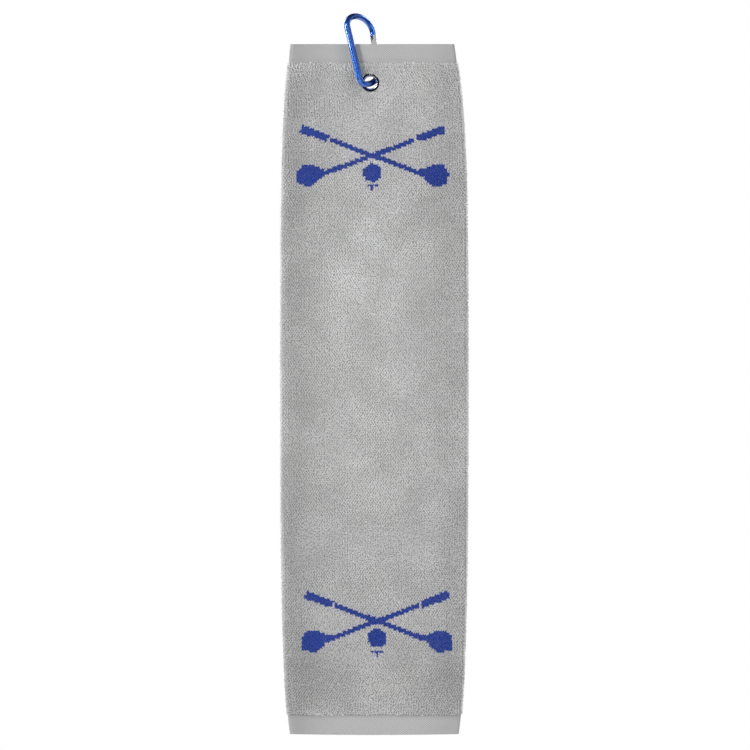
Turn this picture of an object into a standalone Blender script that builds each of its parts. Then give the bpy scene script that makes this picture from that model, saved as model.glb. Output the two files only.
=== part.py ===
"""Tri-fold golf towel hanging from an anodised mini carabiner.

The towel is one terry sheet folded lengthwise in three, with flat twill hem bands at both ends.
A two-piece metal eyelet clamps the three layers near the top, and a small carabiner with a sprung
wire-gate bar passes through the eyelet and over the towel's top edge.

Frame: metres, +Z up, the towel hangs in the XZ plane with its face towards -Y.
The origin is the inside of the carabiner's top bend, where the towel hangs.
"""
import math

import bmesh
import bpy
from mathutils import Matrix, Vector

MM = 0.001

# Running and seating clearances, and how far a cutter runs past what it cuts
SEAT_GAP = 0.30 * MM
SMALL_GAP = 0.20 * MM
CUT_MARGIN = 4.0 * MM

# Towel sheet, folded lengthwise in three
TOWEL_LENGTH = 500.0 * MM
FULL_WIDTH = 134.4 * MM
TOP_PINCH = 13.4 * MM
TOP_REACH = 48.0 * MM
BOTTOM_PINCH = 9.8 * MM
BOTTOM_REACH = 65.0 * MM
TOWEL_AXIS_X = 13.8 * MM
TOP_SHIFT_X = -1.5 * MM
LAYER_SPACING = 2.4 * MM
TERRY_THICKNESS = 1.5 * MM
BAND_THICKNESS = 1.4 * MM
BAND_HEIGHT = 13.9 * MM
BAND_TAPER = 3.2 * MM
FREE_EDGE_INSET = 2.5 * MM
INNER_EDGE_INSET = 1.2 * MM
SIDE_HEM_WIDTH = 6.0 * MM
THREAD_DIAMETER = 0.34 * MM
HEM_THREAD_INSET = 2.6 * MM
THREAD_GAP = 0.22 * MM
FOLD_MARGIN = 12.5 * MM
PANEL_ROWS = 16
FOLD_STEPS = 6

# Eyelet that clamps the three layers
EYELET_FROM_TOP = 27.9 * MM
EYELET_PLAY = 2.15 * MM
EYELET_RISE = 0.57 * MM
EYELET_FLANGE_WIDTH = 2.25 * MM
EYELET_ROLL_WIDTH = 1.80 * MM
EYELET_METAL = 0.35 * MM
EYELET_EDGE_FALL = 0.12 * MM
EYELET_LIP_RADIUS = 1.30 * MM
WASHER_THICKNESS = 0.30 * MM
CLOTH_HOLE_MARGIN = 0.65 * MM
CLAMPED_SPACING = 0.95 * MM
CLAMPED_THICKNESS = 0.80 * MM
CLAMP_MARGIN = 1.45 * MM
CLAMP_RISE = 12.0 * MM
EYELET_STEPS = 28
LIP_STEPS = 6

# Carabiner: the slope of its plane, and its closed D shape in that plane
PLANE_SLOPE_X = 1.20
PLANE_SLOPE_Z = 0.28
BAR_DIAMETER = 4.3 * MM
SPINE_WIDTH = 5.0 * MM
SPINE_THICKNESS = 3.1 * MM
SPINE_LENGTH = 37.9 * MM
SPINE_LEAN = 0.150
NOSE_SIDE = 17.9 * MM
NOSE_DROP = 12.6 * MM
SPINE_SIDE = 10.1 * MM
SPINE_CORNER_DROP = 7.0 * MM
BASE_CORNER_WIDTH = 6.1 * MM
BASE_CORNER_HEIGHT = 5.6 * MM
BASE_RISE = 10.0 * MM
SPINE_BLEND = 5.0 * MM
SPINE_STEPS = 8
BAR_SIDES = 16

# Gate with its hinge rivet, latch pin, plunger and spring
GATE_DIAMETER = 4.7 * MM
GATE_CHAMFER = 0.35 * MM
NOSE_SLOT_DEPTH = 9.0 * MM
TANG_THICKNESS = 2.0 * MM
TANG_TIP = 1.75 * MM
PIVOT_RISE = 1.2 * MM
NOSE_TONGUE = 4.1 * MM
NOSE_SHOULDER = 0.7 * MM
LATCH_PIN_DIAMETER = 1.2 * MM
LATCH_PIN_DEPTH = 2.2 * MM
LATCH_PIN_INSET = 0.25 * MM
RIVET_DIAMETER = 1.6 * MM
RIVET_HEAD_DIAMETER = 3.0 * MM
RIVET_HEAD_HEIGHT = 0.5 * MM
PLUNGER_DIAMETER = 2.0 * MM
PLUNGER_HEAD = 1.2 * MM
PLUNGER_STEM_DIAMETER = 0.9 * MM
PLUNGER_STEM = 2.6 * MM
PLUNGER_NOSE_STEPS = 5
SPRING_WIRE = 0.32 * MM
SPRING_LENGTH = 6.2 * MM
SPRING_TURNS = 6
SPRING_POINTS = 10

# What follows from the sizes above
BAR_RADIUS = BAR_DIAMETER / 2
GATE_RADIUS = GATE_DIAMETER / 2
GATE_SLOT = TANG_THICKNESS + 2 * SEAT_GAP
EYELET_BORE_RADIUS = BAR_RADIUS + EYELET_PLAY
EYELET_OUTER_RADIUS = EYELET_BORE_RADIUS + EYELET_FLANGE_WIDTH
EYELET_ROLL_RADIUS = EYELET_BORE_RADIUS + EYELET_ROLL_WIDTH
CLAMP_FLAT = EYELET_OUTER_RADIUS + CLAMP_MARGIN
CLAMP_REACH = CLAMP_FLAT + CLAMP_RISE
CLAMP_HALF = CLAMPED_SPACING + CLAMPED_THICKNESS / 2


# ---------------------------------------------------------------- scene and helpers

def clear_scene():
    """Remove every object, then the collections that held them."""
    for obj in list(bpy.data.objects):
        bpy.data.objects.remove(obj, do_unlink=True)
    for collection in list(bpy.data.collections):
        bpy.data.collections.remove(collection)


def make_collection(name):
    collection = bpy.data.collections.new(name)
    bpy.context.scene.collection.children.link(collection)
    return collection


def make_material(name, colour, roughness, metallic=0.0):
    material = bpy.data.materials.new(name)
    material.use_nodes = True
    shader = material.node_tree.nodes["Principled BSDF"]
    shader.inputs["Base Color"].default_value = (*colour, 1.0)
    shader.inputs["Roughness"].default_value = roughness
    shader.inputs["Metallic"].default_value = metallic
    material.diffuse_color = (*colour, 1.0)
    return material


def add_object(name, data, material=None, parent=None, location=(0.0, 0.0, 0.0)):
    """Link a new part to the towel's collection."""
    obj = bpy.data.objects.new(name, data)
    PARTS.objects.link(obj)
    obj.parent = parent
    obj.location = location
    if material:
        data.materials.append(material)
    return obj


def add_empty(name, matrix):
    empty = bpy.data.objects.new(name, None)
    PARTS.objects.link(empty)
    empty.matrix_world = matrix
    return empty


def mesh_from_bmesh(name, bm, smooth_angle=40.0):
    bmesh.ops.recalc_face_normals(bm, faces=bm.faces)
    mesh = bpy.data.meshes.new(name)
    bm.to_mesh(mesh)
    bm.free()
    mesh.shade_smooth()
    mesh.set_sharp_from_angle(angle=math.radians(smooth_angle))
    return mesh


def make_cutter(obj):
    """Turn an object into a wire-drawn cutter in the cutters' collection."""
    PARTS.objects.unlink(obj)
    CUTTERS.objects.link(obj)
    obj.hide_render = True
    obj.display_type = "WIRE"
    return obj


def cut(obj, cutter):
    boolean = obj.modifiers.new("cut_" + cutter.name, "BOOLEAN")
    boolean.operation = "DIFFERENCE"
    boolean.solver = "EXACT"
    boolean.object = cutter


def box_cutter(name, low, high, parent=None):
    """A box between two corners, in its parent's frame."""
    low, high = Vector(low), Vector(high)
    bm = bmesh.new()
    bmesh.ops.create_cube(bm, size=1.0)
    bmesh.ops.scale(bm, vec=high - low, verts=bm.verts)
    obj = add_object(name, mesh_from_bmesh(name, bm), parent=parent, location=(low + high) / 2)
    return make_cutter(obj)


def rod_cutter(name, radius, start, end, parent=None, sides=24):
    """A round rod from one point to another, in its parent's frame."""
    start, end = Vector(start), Vector(end)
    bm = bmesh.new()
    bmesh.ops.create_cone(bm, cap_ends=True, segments=sides, radius1=radius, radius2=radius,
                          depth=(end - start).length)
    obj = add_object(name, mesh_from_bmesh(name, bm), parent=parent, location=(start + end) / 2)
    obj.rotation_mode = "QUATERNION"
    obj.rotation_quaternion = (end - start).to_track_quat("Z", "Y")
    return make_cutter(obj)


def turned(name, profile, material, steps, closed=False):
    """Screw a profile of (radius, height) points round Z; it runs down its outer side."""
    mesh = bpy.data.meshes.new(name)
    points = [(radius, 0.0, height) for radius, height in profile]
    edges = [(i, i + 1) for i in range(len(points) - 1)]
    if closed:
        edges.append((len(points) - 1, 0))
    mesh.from_pydata(points, edges, [])
    obj = add_object(name, mesh, material)
    screw = obj.modifiers.new("turn", "SCREW")
    screw.axis = "Z"
    screw.steps = steps
    screw.render_steps = steps
    screw.use_merge_vertices = True
    screw.merge_threshold = 0.00001
    screw.use_smooth_shade = True
    return obj


def arc_points(centre, radius, start_deg, end_deg, steps):
    """Points on an arc; the radius is one number, or one for each axis."""
    radius_x, radius_y = radius if isinstance(radius, tuple) else (radius, radius)
    points = []
    for step in range(steps + 1):
        angle = math.radians(start_deg + (end_deg - start_deg) * step / steps)
        points.append((centre[0] + radius_x * math.cos(angle), centre[1] + radius_y * math.sin(angle)))
    return points


def wire(name, points, diameter, material, resolution=2, parent=None, location=(0.0, 0.0, 0.0)):
    """A round wire along a list of points."""
    curve = bpy.data.curves.new(name, "CURVE")
    curve.dimensions = "3D"
    curve.bevel_depth = diameter / 2
    curve.bevel_resolution = resolution
    curve.use_fill_caps = True
    spline = curve.splines.new("POLY")
    spline.points.add(len(points) - 1)
    for point, place in zip(spline.points, points):
        point.co = (*place, 1.0)
    return add_object(name, curve, material, parent, location)


def smoothstep(value):
    value = min(max(value, 0.0), 1.0)
    return value * value * (3.0 - 2.0 * value)


# ---------------------------------------------------------------- where the pieces lie

def carabiner_matrix():
    """Local X across and local Z up the carabiner, which lies in a leaning plane."""
    across = Vector((1.0, PLANE_SLOPE_X, 0.0)).normalized()
    normal = Vector((PLANE_SLOPE_X, -1.0, PLANE_SLOPE_Z)).normalized()
    up = normal.cross(across)
    return Matrix((across, -normal, up)).transposed().to_4x4()


def carabiner_outline():
    """Centre line of the bar from the nose's tip round to the hinge tang's tip, with spine ends."""
    top = BAR_RADIUS
    nose_shoulder = top - NOSE_DROP
    points = [(NOSE_SIDE, nose_shoulder - NOSE_TONGUE), (NOSE_SIDE, nose_shoulder - NOSE_TONGUE / 2)]
    points += arc_points((0.0, nose_shoulder), (NOSE_SIDE, NOSE_DROP), 0, 90, 12)
    lean = math.degrees(math.atan(SPINE_LEAN * SPINE_CORNER_DROP / SPINE_SIDE))
    points += arc_points((0.0, top - SPINE_CORNER_DROP), (SPINE_SIDE, SPINE_CORNER_DROP),
                         90, 180 + lean, 9)[1:]
    spine_top = points[-1]
    slope = math.hypot(SPINE_LEAN, 1.0)
    for step in range(1, SPINE_STEPS):
        run = SPINE_LENGTH * step / SPINE_STEPS / slope
        points.append((spine_top[0] + SPINE_LEAN * run, spine_top[1] - run))
    run = SPINE_LENGTH / slope
    foot = (spine_top[0] + SPINE_LEAN * run, spine_top[1] - run)
    lean = math.degrees(math.atan(SPINE_LEAN * BASE_CORNER_HEIGHT / BASE_CORNER_WIDTH))
    turn = math.radians(lean)
    centre = (foot[0] + BASE_CORNER_WIDTH * math.cos(turn), foot[1] + BASE_CORNER_HEIGHT * math.sin(turn))
    points += arc_points(centre, (BASE_CORNER_WIDTH, BASE_CORNER_HEIGHT), 180 + lean, 270, 8)
    base = centre[1] - BASE_CORNER_HEIGHT
    points += arc_points((centre[0], base + BASE_RISE), (NOSE_SIDE - centre[0], BASE_RISE),
                         270, 360, 12)[1:]
    pivot = (NOSE_SIDE, base + BASE_RISE + PIVOT_RISE)
    points.append((NOSE_SIDE, pivot[1] + TANG_TIP))
    return points, spine_top, foot, pivot, nose_shoulder


def towel_crossing():
    """Where the bar's centre line passes through the towel's middle plane, below the gate."""
    plane = carabiner_matrix()
    points, spine_top, foot, pivot, nose_shoulder = carabiner_outline()
    places = [plane @ Vector((u, 0.0, w)) for u, w in points if w < foot[1]]
    for place, following in zip(places, places[1:]):
        if place.y < 0.0 <= following.y:
            return place.lerp(following, -place.y / (following.y - place.y))
    raise ValueError("the bar doesn't pass through the towel")


CROSSING = towel_crossing()
EYELET_X = CROSSING.x
EYELET_Z = CROSSING.z + EYELET_RISE
EYELET_AXIS = Vector((EYELET_X, 0.0, EYELET_Z))
TOWEL_TOP = EYELET_Z + EYELET_FROM_TOP
TOWEL_BOTTOM = TOWEL_TOP - TOWEL_LENGTH
TERRY_TOP = TOWEL_TOP - BAND_HEIGHT
TERRY_BOTTOM = TOWEL_BOTTOM + BAND_HEIGHT
TOP_STITCH_Z = TERRY_TOP + HEM_THREAD_INSET
BOTTOM_STITCH_Z = TERRY_BOTTOM - HEM_THREAD_INSET


# ---------------------------------------------------------------- the folded sheet

def folded_width(z):
    """Width of the folded towel, which draws in towards both ends."""
    from_top = TOWEL_TOP - z
    from_bottom = z - TOWEL_BOTTOM
    top = TOP_PINCH * math.exp(-max(from_top - BAND_HEIGHT, 0.0) / TOP_REACH)
    bottom = BOTTOM_PINCH * math.exp(-max(from_bottom - BAND_HEIGHT, 0.0) / BOTTOM_REACH)
    nearest_end = min(from_top, from_bottom)
    taper = BAND_TAPER * max(1.0 - nearest_end / BAND_HEIGHT, 0.0)
    return FULL_WIDTH - top - bottom - taper


def folded_centre(z):
    return TOWEL_AXIS_X + TOP_SHIFT_X * math.exp((z - TOWEL_TOP) / TOP_REACH)


def clamp_share(x, z):
    """0 under the eyelet's flanges, 1 where the layers lie free."""
    distance = max(abs(x - EYELET_X), abs(z - EYELET_Z))
    return smoothstep((distance - CLAMP_FLAT) / (CLAMP_REACH - CLAMP_FLAT))


def layer_spacing(x, z):
    return CLAMPED_SPACING + (LAYER_SPACING - CLAMPED_SPACING) * clamp_share(x, z)


def panel_columns():
    """Places across one layer, counted from the eyelet's axis."""
    narrowest = FULL_WIDTH - max(TOP_PINCH, BOTTOM_PINCH) - BAND_TAPER
    reach = narrowest / 2 - LAYER_SPACING - FOLD_MARGIN
    offsets = [reach, CLAMP_REACH, (CLAMP_REACH + CLAMP_FLAT) / 2, CLAMP_FLAT]
    return [-offset for offset in offsets] + offsets[::-1]


def folded_section(z, proud=0.0):
    """The sheet's line at one height, from the back layer's free edge to the inner free edge.

    It runs along the back, round the left fold, along the front, round the right fold and along
    the middle layer. A positive proud moves it towards the outer face of the sheet.
    """
    left = folded_centre(z) - folded_width(z) / 2
    right = folded_centre(z) + folded_width(z) / 2
    spacing = LAYER_SPACING
    columns = [EYELET_X + offset for offset in panel_columns()]
    back = [right - FREE_EDGE_INSET] + columns[::-1]
    points = [(x, layer_spacing(x, z) + proud) for x in back]
    points += arc_points((left + spacing, 0.0), spacing + proud, 90, 270, FOLD_STEPS)
    points += [(x, -layer_spacing(x, z) - proud) for x in columns]
    points += arc_points((right - spacing / 2, -spacing / 2), spacing / 2 + proud,
                         -90, 90, FOLD_STEPS)
    middle = columns[::-1] + [left + spacing + INNER_EDGE_INSET]
    points += [(x, proud) for x in middle]
    return points


def cloth_strip(name, rows, thickness, clamped_thickness, material):
    """A folded strip of the sheet through the given heights, thinner under the eyelet."""
    sections = [folded_section(z) for z in rows]
    columns = len(sections[0])
    bm = bmesh.new()
    bmesh.ops.create_grid(bm, x_segments=columns - 1, y_segments=len(rows) - 1, size=1.0)
    bm.verts.ensure_lookup_table()
    loft = bm.verts.layers.deform.verify()
    for vert in bm.verts:
        column = round((vert.co.x + 1.0) / 2.0 * (columns - 1))
        row = round((1.0 - vert.co.y) / 2.0 * (len(rows) - 1))
        x, y = sections[row][column]
        share = clamp_share(x, rows[row])
        vert[loft][0] = (clamped_thickness + (thickness - clamped_thickness) * share) / thickness
        vert.co = Vector((x, y, rows[row])) - EYELET_AXIS
    mesh = mesh_from_bmesh(name, bm)
    obj = add_object(name, mesh, material, location=EYELET_AXIS)
    obj.vertex_groups.new(name="loft")
    solidify = obj.modifiers.new("thickness", "SOLIDIFY")
    solidify.thickness = thickness
    solidify.offset = 0.0
    solidify.vertex_group = "loft"
    solidify.thickness_vertex_group = 0.0
    return obj


def terry_rows():
    """Heights down the terry panel, close together round the eyelet."""
    rows = [TERRY_TOP - SEAT_GAP, EYELET_Z + CLAMP_FLAT, EYELET_Z - CLAMP_FLAT]
    rows += [EYELET_Z - (CLAMP_FLAT + CLAMP_REACH) / 2, EYELET_Z - CLAMP_REACH]
    start = rows[-1]
    end = TERRY_BOTTOM + SEAT_GAP
    return rows + [start + (end - start) * (step + 1) / PANEL_ROWS for step in range(PANEL_ROWS)]


def make_towel():
    terry = cloth_strip("terry_panel", terry_rows(), TERRY_THICKNESS, CLAMPED_THICKNESS, GREY_TERRY)
    hole_radius = EYELET_BORE_RADIUS + EYELET_METAL + CLOTH_HOLE_MARGIN
    reach = Vector((0.0, CLAMP_HALF + CUT_MARGIN, 0.0))
    cut(terry, rod_cutter("eyelet_hole", hole_radius, EYELET_AXIS - reach, EYELET_AXIS + reach))
    top_rows = [TOWEL_TOP, (TOWEL_TOP + TOP_STITCH_Z) / 2, TOP_STITCH_Z, TERRY_TOP]
    bottom_rows = [TERRY_BOTTOM, BOTTOM_STITCH_Z, (TOWEL_BOTTOM + BOTTOM_STITCH_Z) / 2, TOWEL_BOTTOM]
    cloth_strip("top_hem_band", top_rows, BAND_THICKNESS, BAND_THICKNESS, GREY_TWILL)
    cloth_strip("bottom_hem_band", bottom_rows, BAND_THICKNESS, BAND_THICKNESS, GREY_TWILL)


def make_threads():
    """One sewing thread for each hem; it lies along the outer face of the sheet."""
    proud = BAND_THICKNESS / 2 + THREAD_DIAMETER / 2 + THREAD_GAP
    heights = {"top_hem_thread": TOP_STITCH_Z, "bottom_hem_thread": BOTTOM_STITCH_Z}
    for name, z in heights.items():
        points = [Vector((x, y, z)) - EYELET_AXIS for x, y in folded_section(z, proud)]
        wire(name, points, THREAD_DIAMETER, GREY_THREAD, location=EYELET_AXIS)
    proud = TERRY_THICKNESS / 2 + THREAD_DIAMETER / 2 + THREAD_GAP
    rows = terry_rows()
    outer, inner = [], []
    for z in rows:
        right = folded_centre(z) + folded_width(z) / 2 - FREE_EDGE_INSET
        left = folded_centre(z) - folded_width(z) / 2 + LAYER_SPACING + INNER_EDGE_INSET
        outer.append(Vector((right - SIDE_HEM_WIDTH, LAYER_SPACING + proud, z)) - EYELET_AXIS)
        inner.append(Vector((left + SIDE_HEM_WIDTH, proud, z)) - EYELET_AXIS)
    wire("outer_side_thread", outer, THREAD_DIAMETER, GREY_THREAD, location=EYELET_AXIS)
    wire("inner_side_thread", inner, THREAD_DIAMETER, GREY_THREAD, location=EYELET_AXIS)


# ---------------------------------------------------------------- eyelet

def make_eyelet():
    """Front flange and barrel in one stamping, rolled over a washer at the back."""
    front = CLAMP_HALF + SMALL_GAP + EYELET_METAL
    washer_top = -CLAMP_HALF - SMALL_GAP
    back = washer_top - WASHER_THICKNESS - SMALL_GAP / 2 - EYELET_METAL
    lip_centre = EYELET_BORE_RADIUS + EYELET_LIP_RADIUS
    inner_lip = EYELET_LIP_RADIUS - EYELET_METAL
    front_centre = (lip_centre, front - EYELET_LIP_RADIUS)
    back_centre = (lip_centre, back + EYELET_LIP_RADIUS)
    profile = [(EYELET_OUTER_RADIUS, front - EYELET_EDGE_FALL),
               (EYELET_OUTER_RADIUS, front - EYELET_METAL)]
    profile += arc_points(front_centre, inner_lip, 90, 180, LIP_STEPS)
    profile += arc_points(back_centre, inner_lip, 180, 270, LIP_STEPS)
    profile += [(EYELET_ROLL_RADIUS, back + EYELET_METAL), (EYELET_ROLL_RADIUS, back)]
    profile += arc_points(back_centre, EYELET_LIP_RADIUS, 270, 180, LIP_STEPS)
    profile += arc_points(front_centre, EYELET_LIP_RADIUS, 180, 90, LIP_STEPS)
    barrel = turned("eyelet_barrel", profile, GUNMETAL, EYELET_STEPS, closed=True)
    bottom = washer_top - WASHER_THICKNESS
    under = inner_lip - (bottom - back - EYELET_METAL)
    inner = lip_centre - math.sqrt(inner_lip ** 2 - under ** 2) + SMALL_GAP
    ring = [(EYELET_OUTER_RADIUS, washer_top), (EYELET_OUTER_RADIUS, bottom),
            (inner, bottom), (inner, washer_top)]
    washer = turned("eyelet_washer", ring, GUNMETAL, EYELET_STEPS, closed=True)
    for obj in (barrel, washer):
        obj.rotation_euler = (math.radians(90), 0.0, 0.0)
        obj.location = EYELET_AXIS


# ---------------------------------------------------------------- carabiner

def bar_section(tangent, flat):
    """Ring of offsets round the bar: round where flat is 0, a rounded oblong where it is 1."""
    across = Vector((tangent.z, 0.0, -tangent.x))
    half_width = BAR_RADIUS + (SPINE_WIDTH / 2 - BAR_RADIUS) * flat
    half_depth = BAR_RADIUS + (SPINE_THICKNESS / 2 - BAR_RADIUS) * flat
    power = 1.0 - 0.5 * flat
    ring = []
    for side in range(BAR_SIDES):
        angle = math.tau * (side + 0.5) / BAR_SIDES
        cosine, sine = math.cos(angle), math.sin(angle)
        wide = math.copysign(abs(cosine) ** power, cosine) * half_width
        deep = math.copysign(abs(sine) ** power, sine) * half_depth
        ring.append(across * wide + Vector((0.0, deep, 0.0)))
    return ring


def make_body(plane):
    """Bent bar: round, pressed flat along the spine, with a nose tongue and a hinge tang."""
    points, spine_top, foot, pivot, nose_shoulder = carabiner_outline()
    line = [Vector((u, 0.0, w)) for u, w in points]
    bm = bmesh.new()
    rings = []
    for index, place in enumerate(line):
        before = line[max(index - 1, 0)]
        after = line[min(index + 1, len(line) - 1)]
        tangent = (after - before).normalized()
        on_spine = place.x < 0.0
        from_ends = min(spine_top[1] - place.z, place.z - foot[1]) + SPINE_BLEND
        flat = smoothstep(from_ends / SPINE_BLEND) if on_spine else 0.0
        rings.append([bm.verts.new(place + offset) for offset in bar_section(tangent, flat)])
    for ring, following in zip(rings, rings[1:]):
        for side in range(BAR_SIDES):
            turn = (side + 1) % BAR_SIDES
            bm.faces.new((ring[side], ring[turn], following[turn], following[side]))
    bm.faces.new(rings[0])
    bm.faces.new(rings[-1])
    body = add_object("carabiner_body", mesh_from_bmesh("carabiner_body", bm), BLUE_ANODISED, plane)
    half_tang = TANG_THICKNESS / 2
    gate_end = nose_shoulder - NOSE_SHOULDER
    tongue_end = nose_shoulder - NOSE_TONGUE - CUT_MARGIN
    clear = GATE_RADIUS + SEAT_GAP + SMALL_GAP
    for side, name in ((1, "rear"), (-1, "front")):
        near, far = side * half_tang, side * (BAR_RADIUS + CUT_MARGIN)
        cut(body, box_cutter("nose_cheek_" + name,
                             (NOSE_SIDE - CUT_MARGIN, min(near, far), tongue_end),
                             (NOSE_SIDE + CUT_MARGIN, max(near, far), gate_end), plane))
        cut(body, rod_cutter("tang_cheek_" + name, clear, (pivot[0], near, pivot[1]),
                             (pivot[0], far, pivot[1]), plane, 32))
    reach = BAR_RADIUS + CUT_MARGIN
    cut(body, rod_cutter("rivet_hole", RIVET_DIAMETER / 2 + SMALL_GAP, (pivot[0], -reach, pivot[1]),
                         (pivot[0], reach, pivot[1]), plane, 16))
    latch = (NOSE_SIDE, gate_end - LATCH_PIN_DEPTH)
    radius = LATCH_PIN_DIAMETER / 2 + SMALL_GAP
    cut(body, rod_cutter("latch_notch", radius, (latch[0], -reach, latch[1]),
                         (latch[0], reach, latch[1]), plane, 16))
    mouth = radius + SMALL_GAP / 2
    cut(body, box_cutter("latch_mouth", (latch[0] - reach, -reach, latch[1] - mouth),
                         (latch[0] - SMALL_GAP, reach, latch[1] + mouth), plane))
    return pivot, latch, gate_end


def make_gate(plane, pivot, latch, shoulder):
    """Slotted bar that swings on the rivet; its origin is on the hinge axis."""
    top = shoulder - SEAT_GAP - pivot[1]
    profile = [(0.0, top), (GATE_RADIUS - GATE_CHAMFER, top), (GATE_RADIUS, top - GATE_CHAMFER)]
    profile += [(r, h) for r, h in arc_points((0.0, 0.0), GATE_RADIUS, 0, -90, 8)]
    profile[-1] = (0.0, -GATE_RADIUS)
    gate = turned("carabiner_gate", profile, BRIGHT_GATE, steps=26)
    gate.parent = plane
    gate.location = (pivot[0], 0.0, pivot[1])
    wide = GATE_RADIUS + CUT_MARGIN
    half_slot = GATE_SLOT / 2
    cut(gate, box_cutter("nose_slot", (-wide, -half_slot, top - NOSE_SLOT_DEPTH),
                         (wide, half_slot, top + wide), gate))
    root = TANG_TIP + SEAT_GAP + PLUNGER_HEAD - SMALL_GAP
    cut(gate, box_cutter("hinge_slot", (-wide, -half_slot, -wide), (wide, half_slot, root), gate))
    seat = TANG_TIP + SEAT_GAP + PLUNGER_HEAD
    bore_end = seat + SMALL_GAP + SPRING_LENGTH + SMALL_GAP
    cut(gate, rod_cutter("spring_bore", PLUNGER_DIAMETER / 2 + SMALL_GAP, (0, 0, 0),
                         (0, 0, bore_end), gate))
    cut(gate, rod_cutter("ear_holes", RIVET_DIAMETER / 2 + SMALL_GAP, (0, -wide, 0),
                         (0, wide, 0), gate, 16))
    pin_height = latch[1] - pivot[1]
    cut(gate, rod_cutter("pin_holes", LATCH_PIN_DIAMETER / 2 + SMALL_GAP / 2,
                         (0, -wide, pin_height), (0, wide, pin_height), gate, 16))
    pin_half = GATE_RADIUS - LATCH_PIN_INSET
    pin_radius = LATCH_PIN_DIAMETER / 2
    pin = turned("latch_pin", [(0, pin_half), (pin_radius, pin_half), (pin_radius, -pin_half),
                               (0, -pin_half)], STEEL, steps=12)
    pin.parent = plane
    pin.location = (latch[0], 0.0, latch[1])
    pin.rotation_euler = (math.radians(90), 0.0, 0.0)
    make_plunger_and_spring(plane, pivot)


def make_rivet(plane, pivot):
    """Domed rivet through the gate's ears and the body's tang."""
    reach = GATE_RADIUS + SMALL_GAP
    shank = RIVET_DIAMETER / 2
    head = RIVET_HEAD_DIAMETER / 2
    dome = arc_points((0.0, reach), (head, RIVET_HEAD_HEIGHT), 90, 0, 4)
    profile = [(max(r, 0.0), h) for r, h in dome] + [(shank, reach)]
    profile += [(r, -h) for r, h in profile[::-1]]
    profile[0] = (0.0, reach + RIVET_HEAD_HEIGHT)
    profile[-1] = (0.0, -reach - RIVET_HEAD_HEIGHT)
    rivet = turned("gate_rivet", profile, STEEL, steps=16)
    rivet.parent = plane
    rivet.location = (pivot[0], 0.0, pivot[1])
    rivet.rotation_euler = (math.radians(90), 0.0, 0.0)


def make_plunger_and_spring(plane, pivot):
    """The round-nosed plunger bears on the tang's tip and the spring bears on the bore's end."""
    face = TANG_TIP + SEAT_GAP
    shoulder = face + PLUNGER_HEAD
    head = PLUNGER_DIAMETER / 2
    stem = PLUNGER_STEM_DIAMETER / 2
    profile = [(0, shoulder + PLUNGER_STEM), (stem, shoulder + PLUNGER_STEM), (stem, shoulder),
               (head, shoulder)]
    profile += arc_points((0.0, face + head), head, 0, -90, PLUNGER_NOSE_STEPS)
    profile[-1] = (0.0, face)
    plunger = turned("gate_plunger", profile, STEEL, steps=16)
    plunger.parent = plane
    plunger.location = (pivot[0], 0.0, pivot[1])
    mean_radius = head - SPRING_WIRE / 2
    start = shoulder + SMALL_GAP / 2 + SPRING_WIRE / 2
    rise = SPRING_LENGTH - SPRING_WIRE
    count = SPRING_TURNS * SPRING_POINTS
    points = []
    for step in range(count + 1):
        angle = math.tau * SPRING_TURNS * step / count
        points.append((mean_radius * math.cos(angle), mean_radius * math.sin(angle),
                       start + rise * step / count))
    wire("gate_spring", points, SPRING_WIRE, STEEL, resolution=1, parent=plane,
         location=(pivot[0], 0.0, pivot[1]))


clear_scene()
PARTS = make_collection("golf_towel")
CUTTERS = make_collection("cutters")
GREY_TERRY = make_material("grey_terry", (0.44, 0.44, 0.44), 0.95)
GREY_TWILL = make_material("grey_twill", (0.45, 0.45, 0.45), 0.90)
GREY_THREAD = make_material("grey_thread", (0.40, 0.40, 0.40), 0.85)
GUNMETAL = make_material("gunmetal", (0.12, 0.12, 0.13), 0.30, 1.0)
BLUE_ANODISED = make_material("blue_anodised", (0.02, 0.10, 0.62), 0.30, 1.0)
BRIGHT_GATE = make_material("bright_gate", (0.78, 0.77, 0.80), 0.22, 1.0)
STEEL = make_material("steel", (0.62, 0.62, 0.64), 0.30, 1.0)

make_towel()
make_threads()
make_eyelet()
PLANE = add_empty("carabiner_plane", carabiner_matrix())
PIVOT, LATCH, SHOULDER = make_body(PLANE)
make_gate(PLANE, PIVOT, LATCH, SHOULDER)
make_rivet(PLANE, PIVOT)
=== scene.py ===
"""Looks of a tri-fold golf towel that hangs from an anodised mini carabiner.

The towel is one terry sheet folded lengthwise in three. Its pile is real loops of yarn on a woven ground,
its hems are turned twill, and two woven motifs of crossed clubs over a ball and tee are set in the pile.
"""

import math
from contextlib import contextmanager

import bmesh
import bpy
import numpy as np
from bpy.props import FloatProperty, FloatVectorProperty, IntProperty, PointerProperty
from mathutils import Matrix, Vector


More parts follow.
